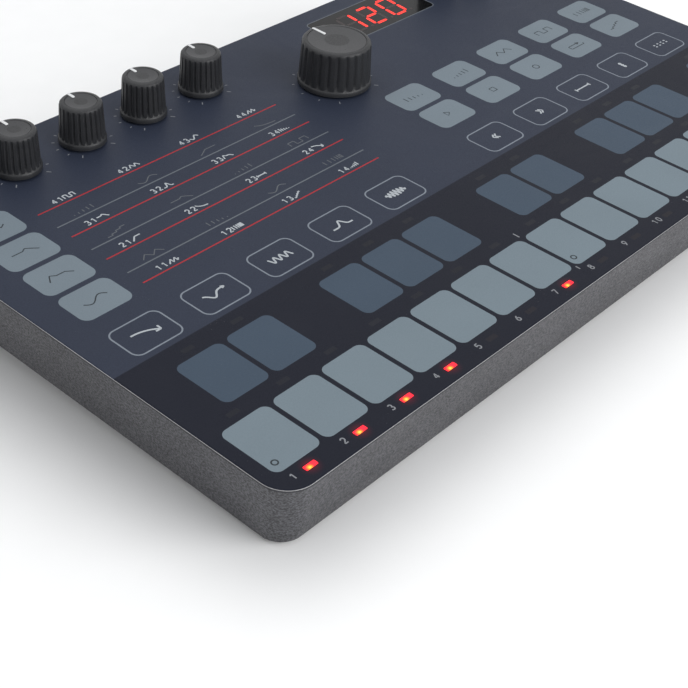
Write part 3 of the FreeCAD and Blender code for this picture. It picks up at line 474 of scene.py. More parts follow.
def draw_wear(bench: Bench, start: Node) -> Sequence[Socket]:
    """Draws the rubbed edges of a piece.

    Args:
        bench: The group's bench.
        start: The group's input node.

    Returns:
        A mask that is high on worn edges.
    """
    rounded = bench.add("Bevel", {"Radius": start.outputs["Radius"]}, samples=4)
    facing = bench.add("NewGeometry")
    normals = {0: rounded.outputs[0], 1: facing.outputs["Normal"]}
    agree = bench.add("VectorMath", normals, operation="DOT_PRODUCT")
    edge = bench.span(agree.outputs["Value"], 0.995, 0.86)
    patches = bench.add("TexNoise", {"Vector": start.outputs["Vector"], "Scale": 210.0, "Detail": 4.0})
    broken = bench.span(patches.outputs[0], 0.38, 0.66)
    worn = bench.math("MULTIPLY", edge, broken)
    return (bench.math("MULTIPLY", worn, start.outputs["Amount"], clamp=True),)


def draw_dust(bench: Bench, start: Node) -> Sequence[Socket]:
    """Draws sparse specks of dust and faint rubbed patches.

    Args:
        bench: The group's bench.
        start: The group's input node.

    Returns:
        The specks' mask and the patches' mask.
    """
    where = start.outputs["Vector"]
    cells = bench.add("TexVoronoi", {"Vector": where, "Scale": start.outputs["Scale"]}, feature="F1")
    speck = bench.span(cells.outputs["Distance"], 0.075, 0.03)
    chosen = bench.add("TexNoise", {"Vector": where, "Scale": 120.0, "Detail": 2.0})
    sparse = bench.span(chosen.outputs[0], 0.56, 0.62)
    sockets = {"Vector": where, "Scale": 38.0, "Detail": 5.0, "Roughness": 0.7, "Distortion": 1.2}
    rubbed = bench.add("TexNoise", sockets)
    patch = bench.span(rubbed.outputs[0], 0.45, 0.75)
    specks = bench.math("MULTIPLY", speck, sparse)
    return bench.math("MULTIPLY", specks, start.outputs["Amount"], clamp=True), patch


def draw_hairlines(bench: Bench, start: Node) -> Sequence[Socket]:
    """Draws the fine drawn lines of turned or brushed metal.

    Args:
        bench: The group's bench.
        start: The group's input node.

    Returns:
        The lines' height.
    """
    stretch = bench.add("Mapping", {"Vector": start.outputs["Vector"], "Scale": (0.06, 1.0, 1.0)})
    sockets = {"Vector": stretch.outputs[0], "Scale": start.outputs["Scale"], "Detail": 4.0}
    return (bench.add("TexNoise", sockets).outputs[0],)


GRAIN = Pattern(
    "moulded_grain", (("Vector", "Vector", None), ("Scale", "Float", 2500.0)),
    (("Height", "Float"), ("Pits", "Float"), ("Mottle", "Float")), draw_grain)
WEAR = Pattern(
    "edge_wear", (("Vector", "Vector", None), ("Radius", "Float", 0.0004), ("Amount", "Float", 0.5)),
    (("Mask", "Float"),), draw_wear)
DUST = Pattern(
    "dust_and_rubbing", (("Vector", "Vector", None), ("Scale", "Float", 900.0), ("Amount", "Float", 0.5)),
    (("Specks", "Float"), ("Rubbed", "Float")), draw_dust)
HAIRLINES = Pattern(
    "drawn_hairlines", (("Vector", "Vector", None), ("Scale", "Float", 4000.0)),
    (("Height", "Float"),), draw_hairlines)


@dataclass(frozen=True)
class Grain:
    """The fine grain of a surface.

    Attributes:
        scale: The grain's scale.
        depth: The grain's height, in metres.
        pitting: How much darker the pits are.
        mottle: How much the colour drifts.
    """

    scale: float = 2500.0
    depth: float = 0.00001
    pitting: float = 0.1
    mottle: float = 0.08


@dataclass(frozen=True)
class Wear:
    """The rubbed edges of a piece.

    Attributes:
        amount: How much of the edges is rubbed.
        radius: How wide a rubbed edge is, in metres.
        colour: The colour of a rubbed edge.
    """

    amount: float
    radius: float
    colour: Colour


@dataclass(frozen=True)
class Finish:
    """The finish of one material.

    Attributes:
        name: The material's name.
        colour: Its colour.
        roughness: Its mean roughness.
        specular: Its specular level.
        grain: Its grain.
        wear: Its rubbed edges, if it has any.
        dust: How much dust shows.
    """

    ROUGHNESS_SWING = 0.06  # how much duller or glossier the grain makes a spot
    WORN_GLOSS = 0.12
    PATCH_GLOSS = 0.07
    DUST_COLOUR = (0.3, 0.3, 0.31)
    DUST_SCALE = 900.0

    name: str
    colour: Colour
    roughness: float = 0.5
    specular: float = 0.3
    grain: Grain = Grain()
    wear: Wear | None = None
    dust: float = 0.0

    def material(self) -> bpy.types.Material:
        """Gives the finish's material, which is built once."""
        return bpy.data.materials.get(self.name + "_finish") or self._build()

    def paint(self, bench: Bench, where: Socket) -> Socket | Colour:
        """Gives the colour under grain and wear, as a colour or an output."""
        return self.colour

    def relief(self, bench: Bench, where: Socket, height: Socket) -> Socket:
        """Gives the height that the bump reads, from the grain's."""
        return height

    def polish(self, bench: Bench, shader: Node) -> None:
        """Sets what only this finish has."""

    def _build(self) -> bpy.types.Material:
        """Builds the material.

        Returns:
            The new material.
        """
        material = bpy.data.materials.new(self.name + "_finish")
        material.use_nodes = True
        material.node_tree.nodes.clear()
        bench = Bench(material.node_tree)
        where = bench.add("TexCoord").outputs["Object"]
        grain = bench.group(GRAIN, {"Vector": where, "Scale": self.grain.scale})
        colour = self.paint(bench, where)
        darker = bench.math("MULTIPLY", grain.outputs["Pits"], self.grain.pitting)
        colour = bench.blend(darker, colour, BLACK)
        drift = bench.math("MULTIPLY", grain.outputs["Mottle"], self.grain.mottle)
        colour = bench.blend(drift, colour, BLACK)
        swing = self.ROUGHNESS_SWING
        rough = bench.span(grain.outputs["Pits"], 0.0, 1.0, self.roughness - swing, self.roughness + swing)
        if self.wear:
            sockets = {"Vector": where, "Radius": self.wear.radius, "Amount": self.wear.amount}
            worn = bench.group(WEAR, sockets).outputs["Mask"]
            colour = bench.blend(worn, colour, self.wear.colour)
            smoother = bench.math("MULTIPLY", worn, self.WORN_GLOSS)
            rough = bench.math("SUBTRACT", rough, smoother, clamp=True)
        if self.dust:
            dust = bench.group(DUST, {"Vector": where, "Scale": self.DUST_SCALE, "Amount": self.dust})
            colour = bench.blend(dust.outputs["Specks"], colour, self.DUST_COLOUR)
            smoother = bench.math("MULTIPLY", dust.outputs["Rubbed"], self.PATCH_GLOSS)
            rough = bench.math("SUBTRACT", rough, smoother, clamp=True)
        height = self.relief(bench, where, grain.outputs["Height"])
        bump = bench.add("Bump", {"Height": height, "Distance": self.grain.depth, "Strength": 1.0})
        sockets = {"Base Color": colour, "Roughness": rough, "Normal": bump.outputs[0],
                   "Specular IOR Level": self.specular}
        shader = bench.add("BsdfPrincipled", sockets)
        self.polish(bench, shader)
        bench.add("OutputMaterial", {"Surface": self.surface(bench, where, shader.outputs[0])})
        return material

    def surface(self, bench: Bench, where: Socket, shader: Socket) -> Socket:
        """Gives the shader that the material puts out."""
        return shader


@dataclass(frozen=True)
class LevelFinish(Finish):
    """A finish whose pattern lies level, as the panel does in level millimetres.

    Attributes:
        tilt: The panel's tilt, in radians.
        offset: What the turned coordinates are moved by.
    """

    tilt: float = 0.0
    offset: Place = (0.0, 0.0, 0.0)

    def level(self, bench: Bench, where: Socket) -> Socket:
        """Turns object coordinates into level metres."""
        sockets = {"Vector": where, "Location": self.offset, "Rotation": (-self.tilt, 0.0, 0.0)}
        return bench.add("Mapping", sockets).outputs[0]


@dataclass(frozen=True)
class PrintedFilm(LevelFinish):
    """The panel's film, whose rear zone is printed a little lighter.

    Attributes:
        rear_colour: The rear zone's colour.
        zone: Where the rear zone begins, in level metres.
        zone_blur: Half of the zones' soft border, in metres.
        flank_colour: The colour of the panel's upright edge.
        flank: Where the upright edge takes its colour, below the panel's face, in millimetres.
        lamps: Where lit lenses cast a red glow on the film, painted in as emission, in level metres.
        reach: How far that painted glow reaches, in metres.
        falloff: How steeply that painted glow fades.
        stain: The colour of the painted glow beside a lens.
    """

    rear_colour: Colour = BLACK
    zone: float = 0.0
    zone_blur: float = 0.00015
    flank_colour: Colour = (0.05, 0.05, 0.056)
    flank: Point = (0.26, 0.34)
    lamps: tuple[Point, ...] = ()
    reach: float = 0.0034
    falloff: float = 2.2
    # the red glow that the lit lenses cast on the film, painted in as emission
    stain: Colour = (0.16, 0.0, 0.004)

    def paint(self, bench: Bench, where: Socket) -> Socket | Colour:
        """Gives the two zones' colours and the upright edge's.

        Args:
            bench: The material's bench.
            where: Object coordinates.

        Returns:
            The colour.
        """
        across = bench.add("SeparateXYZ", {0: self.level(bench, where)})
        rear = bench.span(across.outputs["Y"], self.zone - self.zone_blur, self.zone + self.zone_blur)
        high, low = ((PANEL_TOP - depth) * MM for depth in self.flank)
        flank = bench.span(across.outputs["Z"], high, low)
        return bench.blend(flank, bench.blend(rear, self.colour, self.rear_colour), self.flank_colour)

    def polish(self, bench: Bench, shader: Node) -> None:
        """Paints the lit lenses' glow on the film round them, as emission.

        Args:
            bench: The material's bench.
            shader: The material's Principled node.
        """
        level = self.level(bench, bench.add("TexCoord").outputs["Object"])
        painted_glow_share = None
        for x, y in self.lamps:
            away = bench.add("VectorMath", {0: level, 1: (x, y, PANEL_TOP * MM)}, operation="DISTANCE")
            near = bench.span(away.outputs["Value"], self.reach, 0.0)
            near = bench.math("POWER", near, self.falloff)
            painted_glow_share = bench.math("MAXIMUM", painted_glow_share, near) if painted_glow_share else near
        # emits the painted glow of the lit lenses from the film round them
        bench.glow(shader, bench.blend(painted_glow_share, BLACK, self.stain))


@dataclass(frozen=True)
class Metal(Finish):
    """Plated or drawn metal.

    Attributes:
        drawn: How much of the relief is drawn lines; the rest is grain.
    """

    drawn: float = 0.7

    def relief(self, bench: Bench, where: Socket, height: Socket) -> Socket:
        """Adds drawn lines to the grain.

        Args:
            bench: The material's bench.
            where: Object coordinates.
            height: The grain's height.

        Returns:
            The full height.
        """
        lines = bench.group(HAIRLINES, {"Vector": where, "Scale": self.grain.scale}).outputs["Height"]
        height = bench.math("MULTIPLY", height, 1.0 - self.drawn)
        return bench.math("ADD", height, bench.math("MULTIPLY", lines, self.drawn))

    def polish(self, bench: Bench, shader: Node) -> None:
        """Makes the surface metallic."""
        shader.inputs["Metallic"].default_value = 1.0


@dataclass(frozen=True)
class LitLens(Finish):
    """A light's lens with its lamp on: a hot spot near its left front, fading along the lens.

    Attributes:
        warm: The colour round the hot spot.
        hot: The hot spot's colour.
        dim: The colour at the lens's far end.
        spot: The hot spot's place on the lens, from 0 to 1 each way.
        stretch: How much narrower than the lens the hot spot is, each way.
        warm_reach: Where the warm ring ends and is full, from the spot.
        hot_reach: Where the hot spot ends and is full.
        fade_from: Where along the lens its far end begins to dim.
        fade_share: How much of the lens's own colour is left at its far end.
    """

    warm: Colour = (1.0, 0.32, 0.0)
    hot: Colour = (1.0, 0.92, 0.1)
    dim: Colour = (0.16, 0.004, 0.012)
    spot: Point = (0.33, 0.22)
    stretch: Point = (3.2, 1.5)
    warm_reach: Point = (0.95, 0.5)
    hot_reach: Point = (0.55, 0.15)
    fade_from: float = 0.5
    fade_share: float = 0.6

    def polish(self, bench: Bench, shader: Node) -> None:
        """Makes the lens glow.

        Args:
            bench: The material's bench.
            shader: The material's Principled node.
        """
        place = bench.add("SeparateXYZ", {0: bench.add("UVMap", uv_map="UVMap").outputs[0]})
        from_spot = {}
        for axis, middle, stretch in zip("XY", self.spot, self.stretch):
            away = bench.math("SUBTRACT", place.outputs[axis], middle)
            from_spot[axis] = bench.math("MULTIPLY", away, stretch)
        distance = bench.length(bench.add("CombineXYZ", from_spot).outputs[0])
        fade = bench.span(place.outputs["X"], self.fade_from, 1.0, 1.0, self.fade_share)
        glow = bench.blend(fade, self.dim, self.colour)
        glow = bench.blend(bench.span(distance, *self.warm_reach), glow, self.warm)
        bench.glow(shader, bench.blend(bench.span(distance, *self.hot_reach), glow, self.hot))


@dataclass(frozen=True)
class GlowingInk(Finish):
    """A plainly lit shape, such as a segment of the display.

    Attributes:
        unevenness: The scale of the light's unevenness.
        dim: The colour of its dimmer spots.
        dimming: How much of that colour they take.
    """

    unevenness: float = 1600.0
    dim: Colour = (0.2, 0.0, 0.0)
    dimming: float = 0.25

    def polish(self, bench: Bench, shader: Node) -> None:
        """Makes the shape glow, a little unevenly.

        Args:
            bench: The material's bench.
            shader: The material's Principled node.
        """
        where = bench.add("TexCoord").outputs["Object"]
        drift = bench.group(GRAIN, {"Vector": where, "Scale": self.unevenness}).outputs["Pits"]
        bench.glow(shader, bench.blend(bench.math("MULTIPLY", drift, self.dimming), self.colour, self.dim))


@dataclass(frozen=True)
class SmokedGlass(Finish):
    """Dark glossy glass over the display.

    Attributes:
        coat: The weight of its clear coat.
        coat_roughness: The clear coat's roughness.
    """

    coat: float = 0.06
    coat_roughness: float = 0.08

    def polish(self, bench: Bench, shader: Node) -> None:
        """Gives the glass a clear coat."""
        shader.inputs["Coat Weight"].default_value = self.coat
        shader.inputs["Coat Roughness"].default_value = self.coat_roughness


@dataclass(frozen=True)
class Laminate(Finish):
    """A circuit board's lacquer over copper tracks.

    Attributes:
        track_colour: The colour of lacquer over copper.
    """

    track_colour: Colour = (0.04, 0.22, 0.11)

    def tracks(self, bench: Bench, where: Socket) -> Socket:
        """Draws the tracks' mask.

        Args:
            bench: The material's bench.
            where: Object coordinates.

        Returns:
            A mask that is high on a track.
        """
        sockets = {"Vector": where, "Color1": (1, 1, 1, 1), "Color2": (0.7, 0.7, 0.7, 1),
                   "Mortar": (0, 0, 0, 1), "Scale": 160.0, "Mortar Size": 0.06, "Brick Width": 1.7,
                   "Row Height": 0.3}
        bricks = bench.add("TexBrick", sockets, offset=0.37)
        return bench.math("SUBTRACT", 1.0, bench.span(bricks.outputs["Fac"], 0.0, 1.0), clamp=True)

    def paint(self, bench: Bench, where: Socket) -> Socket | Colour:
        """Gives lacquer over board and over tracks."""
        return bench.blend(self.tracks(bench, where), self.track_colour, self.colour)


@dataclass(frozen=True)
class Sleeve(LevelFinish):
    """A cell's printed sleeve between its bare metal ends.

    Attributes:
        band_colour: The colour of the band round one end.
        bare_colour: The colour of the bare ends.
        middle: Where the cell's middle is, in level metres.
        half: Half of the sleeve's length, in metres.
        band_edge: Where the band begins, in shares of that half.
        bare_edge: Where the bare ends begin, in metres from the sleeve's end.
        coat: The weight of its clear coat.
    """

    band_colour: Colour = (0.4, 0.42, 0.43)
    bare_colour: Colour = (0.6, 0.6, 0.6)
    middle: float = 0.0
    half: float = 0.0246
    band_edge: Point = (0.42, 0.44)
    bare_edge: Point = (0.0004, 0.0003)
    coat: float = 0.4

    def _along(self, bench: Bench, where: Socket) -> Socket:
        """Gives the distance along a cell from its middle, in metres."""
        across = bench.add("SeparateXYZ", {0: self.level(bench, where)})
        return bench.math("SUBTRACT", across.outputs["Y"], self.middle)

    def _bare(self, bench: Bench, along: Socket) -> Socket:
        """Gives a mask that is high on the bare ends."""
        low, high = (self.half - edge for edge in self.bare_edge)
        return bench.span(bench.math("ABSOLUTE", along), low, high)

    def paint(self, bench: Bench, where: Socket) -> Socket | Colour:
        """Gives the sleeve's dark body, its band and the bare ends.

        Args:
            bench: The material's bench.
            where: Object coordinates.

        Returns:
            The colour.
        """
        along = self._along(bench, where)
        low, high = self.band_edge
        band = bench.span(along, self.half * low, self.half * high)
        body = bench.blend(band, self.colour, self.band_colour)
        return bench.blend(self._bare(bench, along), body, self.bare_colour)

    def polish(self, bench: Bench, shader: Node) -> None:
        """Makes the bare ends metallic and the sleeve glossy.

        Args:
            bench: The material's bench.
            shader: The material's Principled node.
        """
        along = self._along(bench, bench.add("TexCoord").outputs["Object"])
        bench.feed(shader.inputs["Metallic"], self._bare(bench, along))
        shader.inputs["Coat Weight"].default_value = self.coat


@dataclass(frozen=True)
class FloorPaint(Finish):
    """The floor, which fades into the white surroundings away from the object.

    Attributes:
        near: Where the fading begins, in metres from the middle.
        far: Where the floor is as white as the surroundings.
    """

    near: float = 0.3
    far: float = 0.9

    def surface(self, bench: Bench, where: Socket, shader: Socket) -> Socket:
        """Blends the paint into plain white for the eye, in mirrors and through glass.

        Args:
            bench: The material's bench.
            where: Object coordinates.
            shader: The Principled node's output.

        Returns:
            The whole surface.
        """
        share = bench.span(bench.length(where), self.near, self.far)
        share = bench.math("MULTIPLY", share, seen_directly(bench))
        white = bench.add("Emission", {"Color": (1.0, 1.0, 1.0, 1.0), "Strength": 1.0})
        return bench.add("MixShader", {0: share, 1: shader, 2: white.outputs[0]}).outputs[0]


PRINT_GRAIN = Grain(3600.0, 0.0000035, 0.05, 0.05)
INK_GRAIN = Grain(5200.0, 0.000002, 0.12, 0.08)
WINDOW_GRAIN = Grain(3000.0, 0.000002, 0.2, 0.2)
SMALL_PART_GRAIN = Grain(2500.0, 0.000006, 0.2, 0.1)
NYLON_GRAIN = Grain(1500.0, 0.000005, 0.1, 0.1)


def ink(name: str, colour: Colour, specular: float = 0.12, grain: Grain = INK_GRAIN) -> Finish:
    """Gives the finish of a printed line or figure.

    Args:
        name: The material's name.
        colour: The ink's colour.
        specular: Its specular level.
        grain: Its grain.

    Returns:
        The finish.
    """
    return Finish(name, colour, 0.5, specular, grain)


def field_print(name: str, colour: Colour, dust: float = 0.0, grain: Grain = PRINT_GRAIN) -> Finish:
    """Gives the finish of a printed key, pad or outline.

    Args:
        name: The material's name.
        colour: The print's colour.
        dust: How much dust shows.
        grain: Its grain.

    Returns:
        The finish.
    """
    return Finish(name, colour, 0.5, 0.15, grain, dust=dust)


@dataclass(frozen=True)
class Finishes:
    """Every finish of the synthesizer, with roughness and specular level after its colour."""

    walls: Finish = Finish(
        "textured_wall_plastic", (0.082, 0.082, 0.094), 0.46, 0.3, Grain(1900.0, 0.00006, 0.85, 0.15),
        Wear(0.25, 0.0003, (0.16, 0.16, 0.165)), 0.2)
    # light grey bead whose colour paints the highlight on the panel's rounded upper edge
    bead: Finish = Finish(
        "painted_edge_highlight", (0.42, 0.42, 0.43), 0.3, 0.5, Grain(2600.0, 0.000008, 0.3, 0.2))
    base: Finish = Finish(
        "base_plastic", (0.035, 0.036, 0.04), 0.6, 0.25, Grain(1900.0, 0.00002, 0.35, 0.15),
        Wear(0.3, 0.0003, (0.14, 0.14, 0.15)), 0.2)
    white_keys: Finish = field_print("light_key_print", (0.16, 0.203, 0.234), 0.15)
    dark_keys: Finish = field_print("dark_key_print", (0.045, 0.067, 0.098), 0.2)
    pads: Finish = field_print("button_print", (0.158, 0.195, 0.226), 0.15)
    outlines: Finish = field_print(
        "outline_print", (0.188, 0.213, 0.25), grain=Grain(3600.0, 0.000003, 0.06, 0.06))
    label_ink: Finish = ink("label_ink", (0.42, 0.45, 0.48))
    dim_ink: Finish = ink("dim_label_ink", (0.11, 0.12, 0.135))
    number_ink: Finish = ink("step_number_ink", (0.22, 0.23, 0.25), 0.2)
    grey_line: Finish = ink("grey_line_ink", (0.12, 0.135, 0.155))
    red_line: Finish = ink("red_line_ink", (0.37, 0.026, 0.035))
    dark_ink: Finish = ink("dark_label_ink", (0.03, 0.036, 0.042))
    rear_ink: Finish = ink("rear_mark_ink", (0.5, 0.51, 0.52), 0.2, Grain(4200.0, 0.000003, 0.15, 0.1))
    unlit: Finish = Finish("unlit_light_window", (0.0125, 0.012, 0.018), 0.4, 0.12, WINDOW_GRAIN)
    key_window: Finish = Finish("key_light_window", (0.011, 0.0128, 0.02), 0.4, 0.12, WINDOW_GRAIN)
    lit: Finish = LitLens(
        "lit_light_window", (0.95, 0.028, 0.045), 0.4, 0.04, Grain(3000.0, 0.000002, 0.1, 0.1))
    glass: Finish = SmokedGlass(
        "display_glass", (0.004, 0.004, 0.005), 0.2, 0.12, Grain(1500.0, 0.0000005, 0.1, 0.1), dust=0.1)
    segment: Finish = GlowingInk("lit_segment", (1.0, 0.03, 0.02), 0.4, 0.2)
    dead_segment: Finish = Finish("unlit_segment", (0.022, 0.014, 0.015), 0.3, 0.2, Grain(1800.0, 0.000001))
    knob: Finish = Finish(
        "knob_plastic", (0.022, 0.023, 0.026), 0.48, 0.35, Grain(2600.0, 0.000009, 0.3, 0.15),
        Wear(0.5, 0.00025, (0.12, 0.12, 0.125)), 0.2)
    knob_top: Finish = Finish(
        "knob_cap_plastic", (0.03, 0.031, 0.035), 0.36, 0.35, Grain(3800.0, 0.000004, 0.2, 0.1),
        Wear(0.4, 0.0002, (0.12, 0.12, 0.125)), 0.2)
    pointer: Finish = Finish(
        "pointer_paint", (0.72, 0.73, 0.74), 0.45, 0.3, Grain(3000.0, 0.000003, 0.12, 0.1),
        Wear(0.3, 0.0001, (0.3, 0.3, 0.3)))
    rubber: Finish = Finish(
        "foot_rubber", (0.022, 0.022, 0.023), 0.85, 0.2, Grain(1500.0, 0.00003, 0.3, 0.2),
        Wear(0.3, 0.0005, (0.08, 0.08, 0.08)), 0.5)
    collar: Finish = Finish(
        "jack_collar_plastic", (0.018, 0.018, 0.02), 0.4, 0.35, SMALL_PART_GRAIN,
        Wear(0.3, 0.0002, (0.1, 0.1, 0.1)))
    slider: Finish = Finish(
        "slider_plastic", (0.014, 0.014, 0.016), 0.4, 0.35, SMALL_PART_GRAIN,
        Wear(0.4, 0.0002, (0.1, 0.1, 0.1)))
    screw: Finish = Metal(
        "black_screw_steel", (0.17, 0.17, 0.18), 0.38, 0.5, Grain(3000.0, 0.000004, 0.3, 0.15),
        Wear(0.6, 0.0001, (0.6, 0.6, 0.6)))
    nickel: Finish = Metal("socket_nickel", (0.62, 0.62, 0.62), 0.24, 0.5, Grain(5000.0, 0.0000025, 0.1, 0.1))
    brass: Finish = Metal("shaft_brass", (0.68, 0.53, 0.28), 0.3, 0.5, Grain(4200.0, 0.000004, 0.15, 0.15))
    copper: Finish = Metal("gilt_copper", (0.78, 0.55, 0.24), 0.3, 0.5, Grain(4200.0, 0.000003, 0.15, 0.15))
    can: Finish = Metal("capacitor_can", (0.66, 0.66, 0.68), 0.3, 0.5, Grain(5000.0, 0.000002, 0.1, 0.1))
    board: Finish = Laminate(
        "board_laminate", (0.012, 0.1, 0.045), 0.35, 0.4, Grain(1500.0, 0.000005, 0.15, 0.2))
    chip: Finish = Finish("chip_epoxy", (0.016, 0.016, 0.018), 0.5, 0.35, Grain(4200.0, 0.000006, 0.3, 0.1))
    connector: Finish = Finish("connector_nylon", (0.7, 0.66, 0.54), 0.45, 0.4, NYLON_GRAIN)
    cable: Finish = Finish("flat_cable_film", (0.62, 0.63, 0.6), 0.35, 0.4, Grain(1500.0, 0.000003, 0.1, 0.1))
    lamp: Finish = Finish("lamp_body", (0.72, 0.7, 0.6), 0.3, 0.4, Grain(2000.0, 0.000002, 0.05, 0.1))


class Former:
    """Collects the mesh of one piece, in level millimetres."""

    WELD = 0.0005  # points of a drawn stroke that lie closer become one
    TURN_WELD = 0.0002  # the same for a turned shape
    RIM_STEPS = 3
    FOLD = 0.8  # an edge that folds by more than this is rounded, in radians
    LEVEL_SLACK = 0.0001  # how far below the top an edge of the top may lie
    CORNER_CUT = 0.45  # how far from its corners a stroke is cut, in widths
    CLOSED_GAP = 0.000001  # a line whose ends lie closer is closed
    FIGURE_STROKE = 0.17  # a figure's stroke width, in heights
    FIGURE_HALF = 0.27  # half of a figure's width, in heights
    FIGURE_GAP = 2.1  # the space from one figure to the next, in stroke widths

    def __init__(self) -> None:
        """Starts an empty piece."""
        self.mesh = bmesh.new()
        self.mesh.loops.layers.uv.new("UVMap")

    def _take(self, part: bmesh.types.BMesh, place: Matrix) -> None:
        """Adds a finished part.

        Args:
            part: The part, which is freed.
            place: Where the part goes.
        """
        part.transform(place)
        holder = bpy.data.meshes.new("part")
        part.to_mesh(holder)
        part.free()
        self.mesh.from_mesh(holder)
        bpy.data.meshes.remove(holder)

    def _take_object(self, data: bpy.types.ID, place: Matrix, settle: Callable[[Vector], Vector]) -> None:
        """Adds a curve or text as a mesh.

        Args:
            data: The curve, which is removed.
            place: Where the mesh goes.
            settle: Moves each point before the mesh is placed.
        """
        holder = bpy.data.objects.new("drawing", data)
        drawn = bpy.data.meshes.new_from_object(holder)
        part = bmesh.new()
        part.from_mesh(drawn)
        part.loops.layers.uv.new("UVMap")
        for vertex in part.verts:
            vertex.co = settle(vertex.co)
        bmesh.ops.remove_doubles(part, verts=part.verts, dist=self.WELD)
        bpy.data.objects.remove(holder)
        bpy.data.meshes.remove(drawn)
        bpy.data.curves.remove(data)
        self._take(part, place)

    def plate(self, size: Point, corner: float, low: float, high: float, at: Point = (0.0, 0.0),
              rim: float = 0.0, rounds: int = 5, hollow: float = 0.0, place: Matrix = Matrix()) -> None:
        """Adds a rounded plate, or a rounded ring.

        Args:
            size: Its width and depth.
            corner: The radius of its corners.
            low: Its lower height.
            high: Its upper height.
            at: Its middle.
            rim: How far its upper edge is rounded.
            rounds: How many faces round a corner.
            hollow: The ring's width, or 0 for a plate.
            place: Where it goes after that.
        """
        part = bmesh.new()
        layer = part.loops.layers.uv.new("UVMap")
        bmesh.ops.create_grid(part, x_segments=1, y_segments=1, size=0.5)
        bmesh.ops.scale(part, vec=(size[0], size[1], 1.0), verts=part.verts)
        if corner:
            bmesh.ops.bevel(part, geom=part.verts[:], offset=corner, offset_type="OFFSET", segments=rounds,
                            profile=0.5, affect="VERTICES", material=-1)
        if hollow:
            inner = part.faces[:]
            bmesh.ops.inset_region(part, faces=inner, thickness=hollow, use_boundary=True,
                                   use_even_offset=True)
            bmesh.ops.delete(part, geom=inner, context="FACES")
        drawn = bmesh.ops.extrude_face_region(part, geom=part.faces[:], use_keep_orig=True)["geom"]
        top = [v for v in drawn if isinstance(v, bmesh.types.BMVert)]
        bmesh.ops.translate(part, vec=(0.0, 0.0, high - low), verts=top)
        bmesh.ops.recalc_face_normals(part, faces=part.faces)
        if rim:
            floor = high - low - self.LEVEL_SLACK
            folds = [e for e in part.edges if e.calc_face_angle(0) > self.FOLD]
            edges = [e for e in folds if all(v.co.z > floor for v in e.verts)]
            bmesh.ops.bevel(part, geom=edges, offset=rim, offset_type="OFFSET", segments=self.RIM_STEPS,
                            profile=0.5, affect="EDGES", material=-1)
        for face in part.faces:
            for loop in face.loops:
                loop[layer].uv = (loop.vert.co.x / size[0] + 0.5, loop.vert.co.y / size[1] + 0.5)
        self._take(part, place @ Matrix.Translation((at[0], at[1], low)))

    def revolve(self, profile: Sequence[Point], steps: int, place: Matrix, closed: bool = False,
                settle: Callable[[Vector], Vector] | None = None) -> None:
        """Adds a turned shape.

        Args:
            profile: Radius and height of each point of its outline.
            steps: How many faces go round it.
            place: Where it goes.
            closed: Whether the outline closes on itself.
            settle: Moves each point of the turned shape, if given.
        """
        part = bmesh.new()
        part.loops.layers.uv.new("UVMap")
        verts = [part.verts.new((r, 0.0, z)) for r, z in profile]
        edges = [part.edges.new(pair) for pair in zip(verts, verts[1:])]
        if closed:
            edges.append(part.edges.new((verts[-1], verts[0])))
        bmesh.ops.spin(part, geom=verts + edges, cent=(0, 0, 0), axis=(0, 0, 1), angle=math.tau, steps=steps,
                       use_merge=True)
        bmesh.ops.remove_doubles(part, verts=part.verts, dist=self.TURN_WELD)
        bmesh.ops.recalc_face_normals(part, faces=part.faces)
        if settle:
            for vertex in part.verts:
                vertex.co = settle(vertex.co)
        self._take(part, place)

    def strokes(self, lines: Iterable[Line], size: Point, width: float, place: Matrix,
                height: float = INK_HEIGHT) -> None:
        """Adds drawn lines of one width.

        Args:
            lines: The lines, from -1 to 1 each way.
            size: Half of the drawing's width and height.
            width: The lines' width.
            place: Where the drawing goes.
            height: How high the lines stand.
        """
        data = bpy.data.curves.new("stroke", "CURVE")
        data.dimensions = "3D"
        data.twist_mode = "Z_UP"
        data.bevel_depth = width / 2
        data.bevel_resolution = 1
        data.use_fill_caps = True
        for line in lines:
            points = soften([(x * size[0], y * size[1]) for x, y in line], width * self.CORNER_CUT)
            closed = math.dist(points[0], points[-1]) < self.CLOSED_GAP
            points = points[:-1] if closed else points
            spline = data.splines.new("POLY")
            spline.points.add(len(points) - 1)
            for target, (x, y) in zip(spline.points, points):
                target.co = (x, y, 0.0, 1.0)
            spline.use_cyclic_u = closed
        flat = height / (width / 2)
        self._take_object(data, place, lambda p: Vector((p.x, p.y, p.z * flat + INK_LIFT)))

    def digits(self, text: str, height: float, place: Matrix, width: float = 0.0) -> None:
        """Adds a plain number.

        Args:
            text: The number.
            height: The height of a figure.
            place: Where the number's middle goes.
            width: The strokes' width, or 0 for the usual one.
        """
        stroke = width or height * self.FIGURE_STROKE
        size = (height * self.FIGURE_HALF, (height - stroke) / 2)
        pitch = 2 * size[0] + stroke * self.FIGURE_GAP
        for index, figure in enumerate(text):
            shift = Matrix.Translation(((index - (len(text) - 1) / 2) * pitch, 0.0, 0.0))
            self.strokes(FIGURES[figure], size, stroke, place @ shift)


def soften(line: Line, reach: float, sharp: float = 2.4, most: float = 0.4) -> Line:
    """Cuts the sharp corners of a line, so that a drawn stroke keeps its width there.

    Args:
        line: The line's points.
        reach: How far from a corner the cut begins.
        sharp: The angle between a corner's legs below which it is cut, in radians.
        most: The largest share of a leg that is cut.

    Returns:
        The line with two points at each sharp corner.
    """
    points = [Vector(p) for p in line]
    result = [points[0]]
    for before, corner, after in zip(points, points[1:], points[2:]):
        back, ahead = before - corner, after - corner
        if back.length and ahead.length and back.angle(ahead) < sharp:
            result.append(corner + back * min(most, reach / back.length))
            result.append(corner + ahead * min(most, reach / ahead.length))
        else:
            result.append(corner)
    return [(p.x, p.y) for p in result + [points[-1]]]


